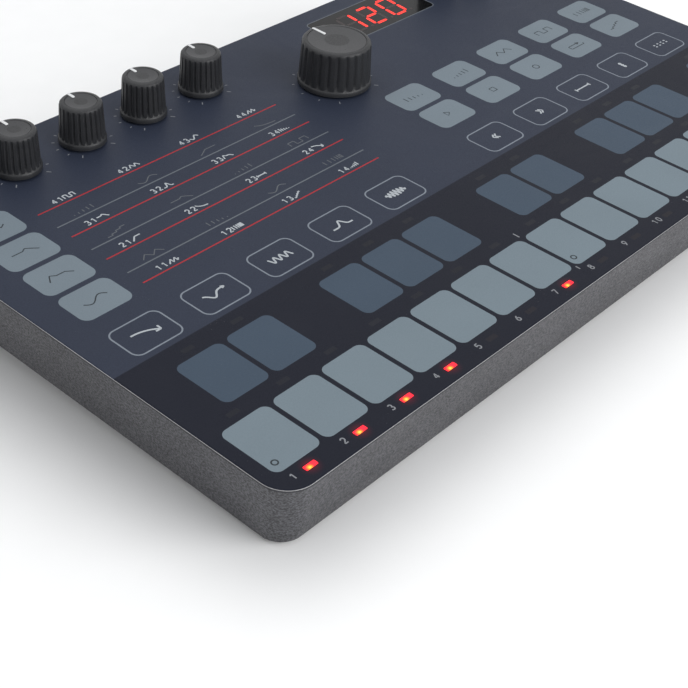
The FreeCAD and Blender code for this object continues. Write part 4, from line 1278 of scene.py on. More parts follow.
@dataclass
class Shop:
    """What every sub-assembly needs to make its pieces.

    Attributes:
        nodes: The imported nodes.
        level: The level frame.
        layout: The panel's layout.
        finishes: The synthesizer's finishes.
    """

    nodes: dict[str, bpy.types.Object]
    level: LevelFrame
    layout: PanelLayout
    finishes: Finishes

    def dress(self, finish: Finish, *names: str) -> None:
        """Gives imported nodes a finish.

        Args:
            finish: The finish.
            names: The nodes.
        """
        for name in names:
            for slot in self.nodes[name].material_slots:
                slot.material = finish.material()
        LOG.info("dressed %s with %s", ", ".join(names), finish.name)

    def piece(self, former: Former, name: str, body: Body | str, finish: Finish, slot: Slot,
              stands_for: Sequence[str] = (), sharp: float = 32.0) -> bpy.types.Object:
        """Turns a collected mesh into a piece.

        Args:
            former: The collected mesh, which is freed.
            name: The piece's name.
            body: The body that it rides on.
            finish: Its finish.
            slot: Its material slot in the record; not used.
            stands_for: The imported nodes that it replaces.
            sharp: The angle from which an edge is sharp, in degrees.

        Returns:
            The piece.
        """
        former.mesh.transform(self.level.matrix)
        data = bpy.data.meshes.new(name)
        former.mesh.to_mesh(data)
        former.mesh.free()
        data.shade_smooth()
        data.set_sharp_from_angle(angle=math.radians(sharp))
        data.materials.append(finish.material())
        piece = bpy.data.objects.new(name, data)
        bpy.context.scene.collection.objects.link(piece)
        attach(piece, body.value if isinstance(body, Body) else body)
        if stands_for:
            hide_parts(*stands_for)
        return piece

    def on_panel(self, x: float, y: float, height: float = PANEL_TOP) -> Matrix:
        """Gives a place on the panel."""
        return Matrix.Translation((x, y, height))

    def tree_of(self, node: str) -> BVHTree:
        """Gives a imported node's surface, for finding what carries a piece."""
        data = self.nodes[node].data
        return BVHTree.FromPolygons([v.co for v in data.vertices], [p.vertices[:] for p in data.polygons])

    def touch(self, tree: BVHTree, start: Sequence[float], way: Sequence[float]) -> Vector:
        """Finds where a level ray meets a surface.

        Args:
            tree: The surface.
            start: Where the ray begins, in level millimetres.
            way: The ray's direction.

        Returns:
            The point, in level millimetres.
        """
        matrix = self.level.matrix
        far = matrix @ Vector(start)
        hit = tree.ray_cast(far, (matrix.to_3x3() @ Vector(way)).normalized())[0]
        return matrix.inverted() @ hit


@dataclass
class SubAssembly:
    """A group of pieces that belong together.

    Attributes:
        shop: What it makes its pieces with.
    """

    shop: Shop

    def build(self) -> None:
        """Builds the meshes of the new pieces."""

    def dress(self) -> None:
        """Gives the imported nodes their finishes."""


@dataclass
class Housing(SubAssembly):
    """The flared case, its printed panel, base, feet and screws, and a bead that paints the highlight of the
    panel's edge.

    Attributes:
        corner: The radius of the case's upright corners.
        front_colour: The panel's front zone.
        rear_colour: The panel's rear zone.
        bead: The lower and upper height of the bead that paints the edge's highlight, and how far it stands
            proud of the panel.
        bead_width: The width of that painted highlight bead.
    """

    corner: float = 7.6
    front_colour: Colour = (0.006, 0.0077, 0.016)
    rear_colour: Colour = (0.026, 0.0325, 0.053)
    # the light bead that paints the highlight along the panel's upper edge
    bead: Triple = (26.2, 26.31, 0.03)
    bead_width: float = 0.8

    def build(self) -> None:
        """Builds the light bead round the panel's upper edge, which paints the highlight of its rounded rim.
        """
        shop, layout = self.shop, self.shop.layout
        low, high, proud = self.bead
        size = (2 * layout.half_width + 2 * proud, 2 * layout.half_depth + 2 * proud)
        former = Former()
        former.plate(size, self.corner + proud, low, high, rim=proud, rounds=12, hollow=self.bead_width)
        shop.piece(former, "painted_highlight_bead", Body.CASE, shop.finishes.bead, Slot.CASE)

    def dress(self) -> None:
        """Dresses the case, the two-zone panel with the lit lenses' painted glow, the base, the feet and the
        screws.
        """
        shop, finishes = self.shop, self.shop.finishes
        layout = shop.layout
        lamps = tuple((layout.white_key(step - 1) * MM, layout.step_row * MM) for step in layout.lit_steps)
        film = PrintedFilm(
            "panel_film", self.front_colour, 0.5, 0.12, Grain(3600.0, 0.0000035, 0.12, 0.06), dust=0.35,
            tilt=shop.level.tilt, offset=tuple(shop.level.pattern_offset()),
            rear_colour=self.rear_colour, zone=layout.zone_row * MM, lamps=lamps)
        shop.dress(finishes.walls, "top_case")
        shop.dress(film, "front_panel")
        shop.dress(finishes.base, "base_plate", "battery_door")
        shop.dress(finishes.rubber, "rubber_feet")
        shop.dress(finishes.screw, "case_screws", "board_screws", "main_board_screws")


@dataclass
class Keyboard(SubAssembly):
    """The printed keys with their lights, step numbers and octave marks.

    Attributes:
        digit_height: The height of a step number.
        lens_foot: How deep a lens reaches under the panel's face.
        lens_crown: How far a lit lens stands proud.
        lens_corner: The radius of a lens's corners.
        lens_rim: How much of the crown is rounded.
        octave_marks: Where the octaves' ticks stand, from the panel's left.
        tick_rows: The ends of each tick, from the panel's front.
        tick_width: The ticks' width.
        note_marks: Where the octaves' rings lie, from the panel's left.
        note_row: The rings' distance from the panel's front.
        note_ring: A ring's radius and its line's width.
    """

    digit_height: float = 2.1
    lens_foot: float = 1.1
    lens_crown: float = 0.16
    lens_corner: float = 0.25
    lens_rim: float = 0.9
    octave_marks: tuple[float, ...] = (111.9, 220.6)
    tick_rows: tuple[Point, ...] = ((24.5, 26.6), (5.6, 7.0))
    tick_width: float = 0.4
    note_marks: tuple[float, ...] = (6.25, 114.9, 223.5)
    note_row: float = 9.67
    note_ring: Point = (0.75, 0.38)

    def build(self) -> None:
        """Builds the lenses, numbers, ticks and rings."""
        shop, layout = self.shop, self.shop.layout
        lit, unlit = Former(), Former()
        for step in range(1, layout.key_count + 1):
            former, crown = (lit, self.lens_crown) if step in layout.lit_steps else (unlit, 0.0)
            former.plate(layout.light_size, self.lens_corner, PANEL_TOP - self.lens_foot, PANEL_TOP + crown,
                         (layout.white_key(step - 1), layout.step_row), rim=crown * self.lens_rim, rounds=4)
        shop.piece(lit, "lit_step_lenses", Body.CASE, shop.finishes.lit, Slot.WINDOW, ["step_light_windows"])
        shop.piece(unlit, "unlit_step_lenses", Body.CASE, shop.finishes.unlit, Slot.WINDOW)
        numbers = Former()
        for step in range(1, layout.key_count + 1):
            x = layout.number_left - layout.half_width + (step - 1) * layout.key_pitch
            numbers.digits(str(step), self.digit_height, shop.on_panel(x, layout.number_row))
        shop.piece(numbers, "step_numbers", Body.CASE, shop.finishes.number_ink, Slot.LINE)
        ticks = Former()
        for left in self.octave_marks:
            for low, high in self.tick_rows:
                middle = shop.on_panel(left - layout.half_width, (low + high) / 2 - layout.half_depth)
                ticks.strokes([[(0, -1), (0, 1)]], (1.0, (high - low) / 2), self.tick_width, middle)
        shop.piece(ticks, "octave_ticks", Body.CASE, shop.finishes.number_ink, Slot.LINE)
        radius, width = self.note_ring
        rings = Former()
        for left in self.note_marks:
            rings.strokes([circle(radius)], (1.0, 1.0), width,
                          shop.on_panel(left - layout.half_width, self.note_row - layout.half_depth))
        shop.piece(rings, "octave_start_rings", Body.CASE, shop.finishes.dark_ink, Slot.LINE)

    def dress(self) -> None:
        """Dresses the printed keys and the small windows."""
        finishes = self.shop.finishes
        self.shop.dress(finishes.white_keys, "white_key_pads")
        self.shop.dress(finishes.dark_keys, "dark_key_pads")
        self.shop.dress(finishes.key_window, "key_light_windows")
        self.shop.dress(finishes.lamp, "step_leds", "key_leds")


@dataclass
class ButtonField(SubAssembly):
    """The outlined buttons, the edit pads and the function pads with their pictograms.

    Attributes:
        outlined: The column and the pictogram of each outlined button.
        edit: The pictograms of the edit pads, from the front row.
        function: The pictograms of the function pads, row by row.
        function_column: The first column of function pads.
        function_count: How many function pads a row has.
        glyph: Half of a pictogram's width and height.
        thick: The strokes' width on an outlined button.
        thin: The strokes' width on a filled pad.
    """

    outlined: tuple[tuple[int, Mark], ...] = (
        (0, Mark.FALL), (1, Mark.SCOOP), (2, Mark.VIBRATO), (3, Mark.PEAK), (4, Mark.TREMOLO),
        (6, Mark.DOWN), (7, Mark.UP), (8, Mark.HOLD), (9, Mark.CHORD), (10, Mark.GRID))
    edit: tuple[Mark, ...] = (Mark.SINE, Mark.ENVELOPE, Mark.FILTER, Mark.SAW)
    function: tuple[Mark, ...] = (
        Mark.PLAY, Mark.STOP, Mark.RECORD, Mark.LOOP, Mark.STEPS,
        Mark.ECHO, Mark.BARS, Mark.TRIANGLE, Mark.SQUARE, Mark.RATE)
    function_column: int = 6
    function_count: int = 5
    glyph: Point = (3.6, 1.35)
    thick: float = 0.52
    thin: float = 0.34

    NARROW = (Mark.PLAY, Mark.STOP, Mark.RECORD, Mark.CHORD, Mark.DOWN, Mark.UP)

    def build(self) -> None:
        """Builds the pictograms."""
        shop, layout = self.shop, self.shop.layout
        light = Former()
        for column, mark in self.outlined:
            self._draw(light, mark, self.thick, column, layout.outlined_row)
        shop.piece(light, "outlined_button_glyphs", Body.CASE, shop.finishes.label_ink, Slot.LINE)
        dark = Former()
        for row, mark in enumerate(self.edit):
            self._draw(dark, mark, self.thin, 0, layout.edit(row))
        for index, mark in enumerate(self.function):
            row, column = divmod(index, self.function_count)
            self._draw(dark, mark, self.thin, self.function_column + column, layout.edit(row))
        shop.piece(dark, "pad_glyphs", Body.CASE, shop.finishes.dark_ink, Slot.LINE)

    def _draw(self, former: Former, mark: Mark, width: float, column: int, row: float) -> None:
        """Draws one pictogram on its button."""
        place = self.shop.on_panel(self.shop.layout.column(column), row)
        former.strokes(mark.value, self._glyph_size(mark), width, place)

    def _glyph_size(self, mark: Mark) -> Point:
        """Gives half of a pictogram's width and height; round and square ones are narrow."""
        width, height = self.glyph
        return (height, height) if mark in self.NARROW else (width, height)

    def dress(self) -> None:
        """Dresses the printed fields and rings."""
        finishes = self.shop.finishes
        self.shop.dress(finishes.pads, "edit_button_pads", "function_button_pads")
        self.shop.dress(finishes.outlines, "button_outlines")


@dataclass
class ParameterTable(SubAssembly):
    """The table of ruled lines and labels beside the edit pads.

    Attributes:
        red_rows: The red lines' distances from the panel's front.
        grey_rows: The grey lines' distances from the panel's front.
        left: Where the lines begin, from the panel's left.
        right: Where the lines end.
        line_width: The lines' width.
        labels: The bold pictograms behind each red line.
        dim_labels: The dim pictograms behind each grey line.
        label_size: Half of a label's width and height.
        label_gap: From a line to the labels behind it.
        bold: The strokes' width in a bold label.
        dim: The strokes' width in a dim label.
        shift: How far number and pictogram lie from their label's middle, in half widths.
        share: How wide and high a pictogram beside a number is, in labels.
    """

    red_rows: tuple[float, ...] = (74.65, 87.8, 100.8, 113.9)
    grey_rows: tuple[float, ...] = (80.2, 93.35, 106.3)
    left: float = 28.4
    right: float = 114.5
    line_width: float = 0.42
    labels: tuple[tuple[Mark, ...], ...] = (
        (Mark.SAW, Mark.RATE, Mark.STEPS, Mark.BARS),
        (Mark.ATTACK, Mark.DECAY, Mark.HOLD, Mark.FALL),
        (Mark.FILTER, Mark.PEAK, Mark.ENVELOPE, Mark.ECHO),
        (Mark.SQUARE, Mark.TRIANGLE, Mark.SINE, Mark.SAW))
    dim_labels: tuple[tuple[Mark, ...], ...] = (
        (Mark.TRIANGLE, Mark.ECHO, Mark.SINE, Mark.RATE),
        (Mark.STEPS, Mark.FILTER, Mark.BARS, Mark.SQUARE),
        (Mark.BARS, Mark.SINE, Mark.ATTACK, Mark.DECAY))
    label_size: Point = (3.4, 1.1)
    label_gap: float = 1.0
    bold: float = 0.42
    dim: float = 0.3
    shift: float = 0.55
    share: Point = (0.48, 0.9)

    def build(self) -> None:
        """Builds the lines and labels."""
        finishes = self.shop.finishes
        self._lines("red_table_lines", self.red_rows, finishes.red_line)
        self._lines("grey_table_lines", self.grey_rows, finishes.grey_line)
        self._labels("table_labels", self.red_rows, self.labels, self.bold, finishes.label_ink, True)
        self._labels("dim_table_labels", self.grey_rows, self.dim_labels, self.dim, finishes.dim_ink)

    def _lines(self, name: str, rows: Iterable[float], finish: Finish) -> None:
        """Builds a set of ruled lines.

        Args:
            name: The piece's name.
            rows: The lines' distances from the panel's front.
            finish: The lines' finish.
        """
        layout, former = self.shop.layout, Former()
        middle = (self.left + self.right) / 2 - layout.half_width
        for row in rows:
            former.plate((self.right - self.left, self.line_width), 0.0, PANEL_TOP - INK_FOOT,
                         PANEL_TOP + INK_HEIGHT, (middle, row - layout.half_depth))
        self.shop.piece(former, name, Body.CASE, finish, Slot.LINE)

    def _labels(self, name: str, rows: Sequence[float], labels: Sequence[Sequence[Mark]], width: float,
                finish: Finish, numbered: bool = False) -> None:
        """Builds a set of labels.

        Args:
            name: The piece's name.
            rows: The lines that the labels stand behind.
            labels: The labels of each line.
            width: The strokes' width.
            finish: The labels' finish.
            numbered: Whether a number of row and column stands before each pictogram.
        """
        layout, former = self.shop.layout, Former()
        half, height = self.label_size
        size = (half * self.share[0], height * self.share[1]) if numbered else self.label_size
        shift = half * self.shift if numbered else 0.0
        for index, (row, marks) in enumerate(zip(rows, labels), 1):
            y = row - layout.half_depth + self.label_gap + height
            for column, mark in enumerate(marks, 1):
                x = layout.column(column)
                if numbered:
                    former.digits(f"{index}{column}", 2 * height, self.shop.on_panel(x - shift, y))
                former.strokes(mark.value, size, width, self.shop.on_panel(x + shift, y))
        self.shop.piece(former, name, Body.CASE, finish, Slot.LINE)


@dataclass(frozen=True)
class Knob:
    """One knob's place and size.

    Attributes:
        name: The name shared by its node and body.
        x: Its middle.
        y: Its middle.
        radius: The radius of its skirt.
        height: The height of its top above the panel.
    """

    name: str
    x: float
    y: float
    radius: float = 6.6
    height: float = 12.3


@dataclass
class KnobSet(SubAssembly):
    """The turning knobs with their grips, caps, pointers and printed scales.

    Attributes:
        large: The large knob's radius and height.
        gap: The skirt's height above the panel.
        setback: How far the grip lies inside the skirt.
        grip_foot: Where the grip begins, above the skirt's foot.
        crown_height: How much of the height over the gap isn't grip.
        flutes: How many grip flutes a knob has.
        flute_depth: How deep a flute is.
        taper: How much narrower the grip is at its top.
        shaft_bore: The radius of the bore that takes the shaft.
        sleeve: The radius of the sleeve round that bore.
        sleeve_lift: The sleeve's foot above the skirt's.
        roof: How thick the knob is over its shaft, and over its hollow.
        wall: The wall's thickness at its top and at its foot.
        dish: How deep the cap is dished.
        pointer: The pointer's width and where it begins, in radii.
        sweep: Half of the scale's angle, in degrees.
        ticks: How many ticks a scale has.
        tick_gap: From the skirt to the ticks.
        tick_lengths: The long and the short ticks' length.
        tick_width: The ticks' width.
    """

    large: Point = (11.0, 13.9)
    gap: float = 0.7
    setback: float = 0.3
    grip_foot: float = 1.9
    crown_height: float = 3.0
    flutes: int = 24
    flute_depth: float = 0.42
    taper: float = 0.45
    shaft_bore: float = 3.12
    sleeve: float = 4.3
    sleeve_lift: float = 0.4
    roof: Point = (3.0, 3.2)
    wall: Point = (1.7, 1.5)
    dish: float = 0.22
    pointer: Point = (0.9, 0.42)
    sweep: float = 140.0
    ticks: int = 11
    tick_gap: float = 1.0
    tick_lengths: Point = (1.3, 0.8)
    tick_width: float = 0.28

    # Outlines, as steps inwards from the radius and up from the skirt's foot or down from the top
    SKIRT = ((0.0, 0.0), (0.0, 1.1), (0.12, 1.3), (0.3, 1.5))
    CROWN = ((0.12, 0.55), (0.45, 0.16), (0.95, 0.0), (1.4, 0.0), (1.5, 0.2))
    GRIP_STEPS = 9
    FLUTED_WALL = 1.0  # only points this near the radius can lie in a flute
    FLUTE_SHARPNESS = 1.4
    FLUTE_ENDS = (0.6, 0.9)  # over how much height a flute grows at its foot and its top
    FLUTE_MARGIN = (1.5, 0.5)  # from the skirt's foot and from the top to a flute
    FLUTE_FACES = 8
    CAP_INSET = 1.55  # from the grip's edge to the cap's
    CAP_EDGE = ((0.0, 0.5), (0.0, 0.12), (0.14, 0.04))
    CAP_STEPS = 6
    CAP_FACES = 72
    POINTER_END = 0.5  # from the pointer's end to the grip's edge
    POINTER_FOOT = 0.4
    POINTER_RISE = 0.06

    def knobs(self) -> list[Knob]:
        """Lists the knobs.

        Returns:
            The small knobs from left to right, and the large one.
        """
        layout = self.shop.layout
        columns = {"volume": 0, "edit_1": 1, "edit_2": 2, "edit_3": 3, "edit_4": 4, "data": 9, "tempo": 10}
        row = [Knob(name, layout.column(k), layout.knob_row) for name, k in columns.items()]
        return row + [Knob("cutoff", *layout.cutoff, *self.large)]

    def build(self) -> None:
        """Builds each knob and the scales."""
        for knob in self.knobs():
            self._grip(knob)
            self._cap(knob)
            self._pointer(knob)
        self._scales()

    def _upper(self, knob: Knob) -> float:
        """Gives the grip's radius at its top."""
        return knob.radius - self.setback - self.taper

    def _fluted(self, knob: Knob) -> Callable[[Vector], Vector]:
        """Gives the shaping of a knob's grip.

        Args:
            knob: The knob.

        Returns:
            A function that moves a point of the turned grip into its flute.
        """
        low, high = self.gap + self.FLUTE_MARGIN[0], knob.height - self.FLUTE_MARGIN[1]

        def settle(point: Vector) -> Vector:
            """Moves one point of the grip.

            Args:
                point: A point of the turned grip.

            Returns:
                The point in its place.
            """
            radius = math.hypot(point.x, point.y)
            if radius < knob.radius - self.FLUTED_WALL or not low <= point.z <= high:
                return point
            angle = math.atan2(point.y, point.x)
            groove = max(0.0, math.cos(angle * self.flutes)) ** self.FLUTE_SHARPNESS
            ease = min(1.0, (point.z - low) / self.FLUTE_ENDS[0], (high - point.z) / self.FLUTE_ENDS[1])
            inward = 1.0 - self.flute_depth * groove * max(0.0, ease) / radius
            return Vector((point.x * inward, point.y * inward, point.z))
        return settle

    def _outline(self, knob: Knob) -> list[Point]:
        """Draws half of a grip's section, from the middle of its hollow round to that of its top.

        Args:
            knob: The knob.

        Returns:
            Radius and height of each point.
        """
        r, top, gap = knob.radius, knob.height, self.gap
        roof, ceiling = (top - thick for thick in self.roof)
        hem = gap + self.sleeve_lift
        outline = [(0.0, roof), (self.shaft_bore, roof), (self.shaft_bore, hem), (self.sleeve, hem)]
        outline += [(self.sleeve, ceiling), (r - self.wall[0], ceiling), (r - self.wall[1], gap)]
        outline += [(r - inward, gap + up) for inward, up in self.SKIRT]
        for i in range(self.GRIP_STEPS + 1):
            share = i / self.GRIP_STEPS
            height = gap + self.grip_foot + (top - gap - self.crown_height) * share
            outline.append((r - self.setback - self.taper * share, height))
        outline += [(self._upper(knob) - inward, top - down) for inward, down in self.CROWN]
        return outline + [(0.0, top - self.dish)]

    def _grip(self, knob: Knob) -> None:
        """Builds a knob's skirt and fluted grip, hollow underneath.

        Args:
            knob: The knob.
        """
        former = Former()
        former.revolve(self._outline(knob), self.flutes * self.FLUTE_FACES,
                       self.shop.on_panel(knob.x, knob.y), settle=self._fluted(knob))
        self.shop.piece(former, knob.name + "_grip", knob.name + "_dial", self.shop.finishes.knob, Slot.KNOB,
                        [knob.name + "_knob"], sharp=40.0)

    def _cap(self, knob: Knob) -> None:
        """Builds the dished cap in a knob's top.

        Args:
            knob: The knob.
        """
        reach = self._upper(knob) - self.CAP_INSET
        edge = [(reach - inward, knob.height - down) for inward, down in self.CAP_EDGE]
        profile = [(0.0, edge[0][1])] + edge
        for i in range(1, self.CAP_STEPS + 1):
            share = i / self.CAP_STEPS
            profile.append((reach * (1 - share), edge[-1][1] - self.dish * math.sin(math.pi / 2 * share)))
        former = Former()
        former.revolve(profile, self.CAP_FACES, self.shop.on_panel(knob.x, knob.y))
        self.shop.piece(former, knob.name + "_cap", knob.name + "_dial", self.shop.finishes.knob_top,
                        Slot.KNOB)

    def _pointer(self, knob: Knob) -> None:
        """Builds the painted pointer on a knob's rim.

        Args:
            knob: The knob.
        """
        width, start = self.pointer[0], knob.radius * self.pointer[1]
        length = self._upper(knob) - self.POINTER_END - start
        low, high = knob.height - self.POINTER_FOOT, knob.height + self.POINTER_RISE
        former = Former()
        former.plate((width, length), width / 3, low, high, (0.0, start + length / 2), rim=0.08, rounds=4,
                     place=self.shop.on_panel(knob.x, knob.y))
        self.shop.piece(former, knob.name + "_pointer", knob.name + "_dial", self.shop.finishes.pointer,
                        Slot.LIGHT)

    def _scales(self) -> None:
        """Builds the printed ticks round the knobs."""
        former = Former()
        long, short = self.tick_lengths
        for knob in self.knobs():
            inner = knob.radius + self.tick_gap
            for i in range(self.ticks):
                turn = math.radians(-self.sweep + 2 * self.sweep * i / (self.ticks - 1))
                ends = (inner, inner + (long if i in (0, self.ticks // 2, self.ticks - 1) else short))
                line = [(math.sin(turn) * r, math.cos(turn) * r) for r in ends]
                former.strokes([line], (1.0, 1.0), self.tick_width, self.shop.on_panel(knob.x, knob.y))
        self.shop.piece(former, "knob_scales", Body.CASE, self.shop.finishes.number_ink, Slot.LINE)

    def dress(self) -> None:
        """Dresses the shafts and the parts under the panel."""
        finishes = self.shop.finishes
        self.shop.dress(finishes.brass, *[knob.name + "_shaft" for knob in self.knobs()])
        self.shop.dress(finishes.can, "potentiometer_bodies", "encoder_body")
        self.shop.dress(finishes.connector, "encoder_plunger")


@dataclass
class Display(SubAssembly):
    """The display's window with its figures.

    Attributes:
        digits: The shown number.
        figure: Width and height of a figure.
        pitch: From one figure to the next.
        slant: How much a figure leans.
        segment: A segment's thickness.
        segment_corner: The radius of its corners.
        trim: How much shorter than the figure's sides the bars and the posts are.
        dot: A dot's width and the radius of its corners.
        border: How much larger than the window the border is, its corners' radius and its width.
    """

    digits: str = "120"
    figure: Point = (5.6, 10.4)
    pitch: float = 9.6
    slant: float = 0.12
    segment: float = 1.05
    segment_corner: float = 0.45
    trim: Point = (1.3, 0.75)
    dot: Point = (1.2, 0.59)
    border: Triple = (0.8, 2.0, 0.35)

    SEGMENTS = {"0": "abcdef", "1": "bc", "2": "abdeg"}

    def build(self) -> None:
        """Builds the lit and the unlit segments and the window's frame."""
        shop = self.shop
        lit, dead, rim = Former(), Former(), Former()
        lean = Matrix(((1, self.slant, 0, 0), (0, 1, 0, 0), (0, 0, 1, 0), (0, 0, 0, 1)))
        x, y = shop.layout.display
        side, round_off = self.dot
        for index, digit in enumerate(self.digits):
            place = shop.on_panel(x + (index - 1) * self.pitch, y) @ lean
            for name, (at, size) in self._segments().items():
                former = lit if name in self.SEGMENTS[digit] else dead
                former.plate(size, self.segment_corner, -INK_FOOT, INK_HEIGHT, at, rounds=2, place=place)
            dead.plate((side, side), round_off, -INK_FOOT, INK_HEIGHT, (self.pitch / 2, -self.figure[1] / 2),
                       place=place)
        shop.piece(lit, "lit_display_segments", Body.CASE, shop.finishes.segment, Slot.WINDOW)
        shop.piece(dead, "unlit_display_segments", Body.CASE, shop.finishes.dead_segment, Slot.GLASS)
        wider, corner, line = self.border
        size = tuple(side + wider for side in shop.layout.display_size)
        rim.plate(size, corner, PANEL_TOP - INK_FOOT, PANEL_TOP + INK_HEIGHT, (x, y), hollow=line)
        shop.piece(rim, "display_border", Body.CASE, shop.finishes.grey_line, Slot.LINE)

    def _segments(self) -> dict[str, tuple[Point, Point]]:
        """Gives each segment's middle and size.

        Returns:
            Middle and size by the segment's letter.
        """
        w, h = self.figure
        bar, post = (w - self.trim[0], self.segment), (self.segment, h / 2 - self.trim[1])
        return {"a": ((0, h / 2), bar), "g": ((0, 0), bar), "d": ((0, -h / 2), bar),
                "b": ((w / 2, h / 4), post), "c": ((w / 2, -h / 4), post),
                "f": ((-w / 2, h / 4), post), "e": ((-w / 2, -h / 4), post)}

    def dress(self) -> None:
        """Dresses the window and its module."""
        self.shop.dress(self.shop.finishes.glass, "display_window")
        self.shop.dress(self.shop.finishes.chip, "display_module")


@dataclass(frozen=True)
class Jack:
    """One jack in the rear wall.

    Attributes:
        name: Its node.
        x: Its place.
        bore: Its bore's radius.
        mark: The pictogram over it.
        arrow: The arrow beside that pictogram, if it has one.
    """

    name: str
    x: float
    bore: float
    mark: Mark
    arrow: Mark | None = None


@dataclass
class RearPanel(SubAssembly):
    """The sockets and the switch in the rear wall, with their pictograms.

    Attributes:
        jacks: The jacks.
        socket_height: The jacks' height.
        mark_height: The pictograms' height.
        mark_size: Half of a pictogram's width and height.
        pins_size: The same for a ring of pins.
        arrow_size: The same for an arrow beside a ring of pins.
        arrow_shift: From a ring of pins to its arrow.
        stroke: A pictogram's stroke width.
        arrow_stroke: An arrow's stroke width.
        switch_left: The switch's x.
        switch_throw: From the switch's middle to each of its figures.
        figure_height: The height of these figures.
        figure_drop: How much lower than the pictograms they stand.
        usb_left: The USB socket's x.
    """

    jacks: tuple[Jack, ...] = (
        Jack("audio_out_jack", -69.5, 1.85, Mark.OUTWARD),
        Jack("audio_in_jack", -58.0, 1.85, Mark.INWARD),
        Jack("midi_out_jack", -46.5, 1.35, Mark.PINS, Mark.OUTWARD),
        Jack("midi_in_jack", -35.0, 1.35, Mark.PINS, Mark.INWARD))
    socket_height: float = 11.1
    mark_height: float = 18.6
    mark_size: Point = (1.9, 1.5)
    pins_size: Point = (1.5, 1.5)
    arrow_size: Point = (0.8, 1.0)
    arrow_shift: float = 3.1
    stroke: float = 0.3
    arrow_stroke: float = 0.28
    switch_left: float = -96.0
    switch_throw: float = 2.2
    figure_height: float = 2.2
    figure_drop: float = 1.4
    usb_left: float = -82.0

    # A jack ring's section: steps outwards from its bore, and out of the wall
    RING = ((0.0, -1.2), (0.85, -1.2), (0.85, 0.1), (0.72, 0.2), (0.25, 0.2), (0.0, 0.02))
    RING_PLAY = 0.04
    RING_FACES = 48
    OUTSIDE = 90.0  # a y behind the whole case
    REACH = 0.4  # half of the height over which the wall's slope is measured

    def wall_place(self, x: float, z: float) -> Matrix:
        """Finds a place on the rear wall, which reads from behind.

        Args:
            x: The place's x.
            z: The place's height.

        Returns:
            A place whose local z points out of the wall.
        """
        tree = self.shop.tree_of("top_case")
        low, high = (self.shop.touch(tree, (x, self.OUTSIDE, z + step), (0.0, -1.0, 0.0))
                     for step in (-self.REACH, self.REACH))
        up = (high - low).normalized()
        across = Vector((-1.0, 0.0, 0.0))
        place = Matrix((across, up, across.cross(up))).transposed().to_4x4()
        place.translation = (low + high) / 2
        return place

    def build(self) -> None:
        """Builds the jack rings and the pictograms."""
        shop = self.shop
        rings, outwards = Former(), Matrix.Rotation(-math.pi / 2, 4, "X")
        for jack in self.jacks:
            low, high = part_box(jack.name)
            face = (shop.level.matrix.inverted() @ Vector((0, high.y, (low.z + high.z) / 2))).y
            mouth = Matrix.Translation((jack.x, face, self.socket_height)) @ outwards
            inner = jack.bore + self.RING_PLAY
            rings.revolve([(inner + wider, out) for wider, out in self.RING], self.RING_FACES, mouth,
                          closed=True)
        shop.piece(rings, "jack_rings", Body.CASE, shop.finishes.nickel, Slot.STEEL)
        marks = Former()
        for x, mark in [(jack.x, jack.mark) for jack in self.jacks] + [(self.usb_left, Mark.PLUG)]:
            size = self.pins_size if mark is Mark.PINS else self.mark_size
            marks.strokes(mark.value, size, self.stroke, self.wall_place(x, self.mark_height))
        for jack in self.jacks:
            if jack.arrow:
                place = self.wall_place(jack.x + self.arrow_shift, self.mark_height)
                marks.strokes(jack.arrow.value[1:], self.arrow_size, self.arrow_stroke, place)
        for figure, side in (("1", self.switch_throw), ("0", -self.switch_throw)):
            place = self.wall_place(self.switch_left + side, self.mark_height - self.figure_drop)
            marks.digits(figure, self.figure_height, place)
        shop.piece(marks, "rear_marks", Body.CASE, shop.finishes.rear_ink, Slot.LINE)

    def dress(self) -> None:
        """Dresses the sockets and the switch."""
        finishes = self.shop.finishes
        self.shop.dress(finishes.collar, *[jack.name for jack in self.jacks])
        self.shop.dress(finishes.nickel, "usb_socket")
        self.shop.dress(finishes.can, "power_switch_body")
        self.shop.dress(finishes.slider, "power_slider")


@dataclass
class Underside(SubAssembly):
    """The marks on the battery door.

    Attributes:
        arrow: The arrow's half width, its length and its height.
        stroke: The arrow's stroke width.
        double: From the arrow's one line to the other.
        forward: How far before the door's middle the arrow lies.
    """

    arrow: Triple = (3.2, 5.0, 0.3)
    stroke: float = 1.1
    double: float = 4.0
    forward: float = 8.0

    BELOW = -30.0  # a height under the whole case

    def build(self) -> None:
        """Builds the raised arrow that shows which way the door slides."""
        shop = self.shop
        low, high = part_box("battery_door")
        middle = shop.level.matrix.inverted() @ ((low + high) / 2)
        tree = shop.tree_of("battery_door")
        spot = shop.touch(tree, (middle.x, middle.y - self.forward, self.BELOW), (0.0, 0.0, 1.0))
        face = Matrix.Translation(spot) @ Matrix.Rotation(math.pi, 4, "X")
        half, length, height = self.arrow
        former = Former()
        for back in (0.0, self.double):
            line = [(-half, back), (0, back - length), (half, back)]
            former.strokes([line], (1.0, 1.0), self.stroke, face, height)
        shop.piece(former, "door_arrow", Body.DOOR, shop.finishes.base, Slot.CASE)


@dataclass
class Interior(SubAssembly):
    """The boards, cells and small parts inside."""

    def dress(self) -> None:
        """Dresses what the case hides and what the open door shows."""
        shop, finishes = self.shop, self.shop.finishes
        low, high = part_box("batteries")
        middle = (shop.level.matrix.inverted() @ ((low + high) / 2)).y
        sleeve = Sleeve(
            "cell_sleeve", (0.03, 0.075, 0.11), 0.3, 0.4, Grain(1500.0, 0.000002, 0.05, 0.1),
            tilt=shop.level.tilt, offset=tuple(shop.level.pattern_offset()), middle=middle * MM)
        shop.dress(finishes.board, "control_board", "main_board")
        shop.dress(finishes.chip, "control_board_chips", "main_board_chips")
        shop.dress(finishes.can, "capacitors")
        shop.dress(finishes.copper, "touch_electrodes")
        shop.dress(finishes.nickel, "battery_contacts")
        shop.dress(sleeve, "batteries")
        shop.dress(finishes.connector, "link_connectors")
        shop.dress(finishes.cable, "link_cable")


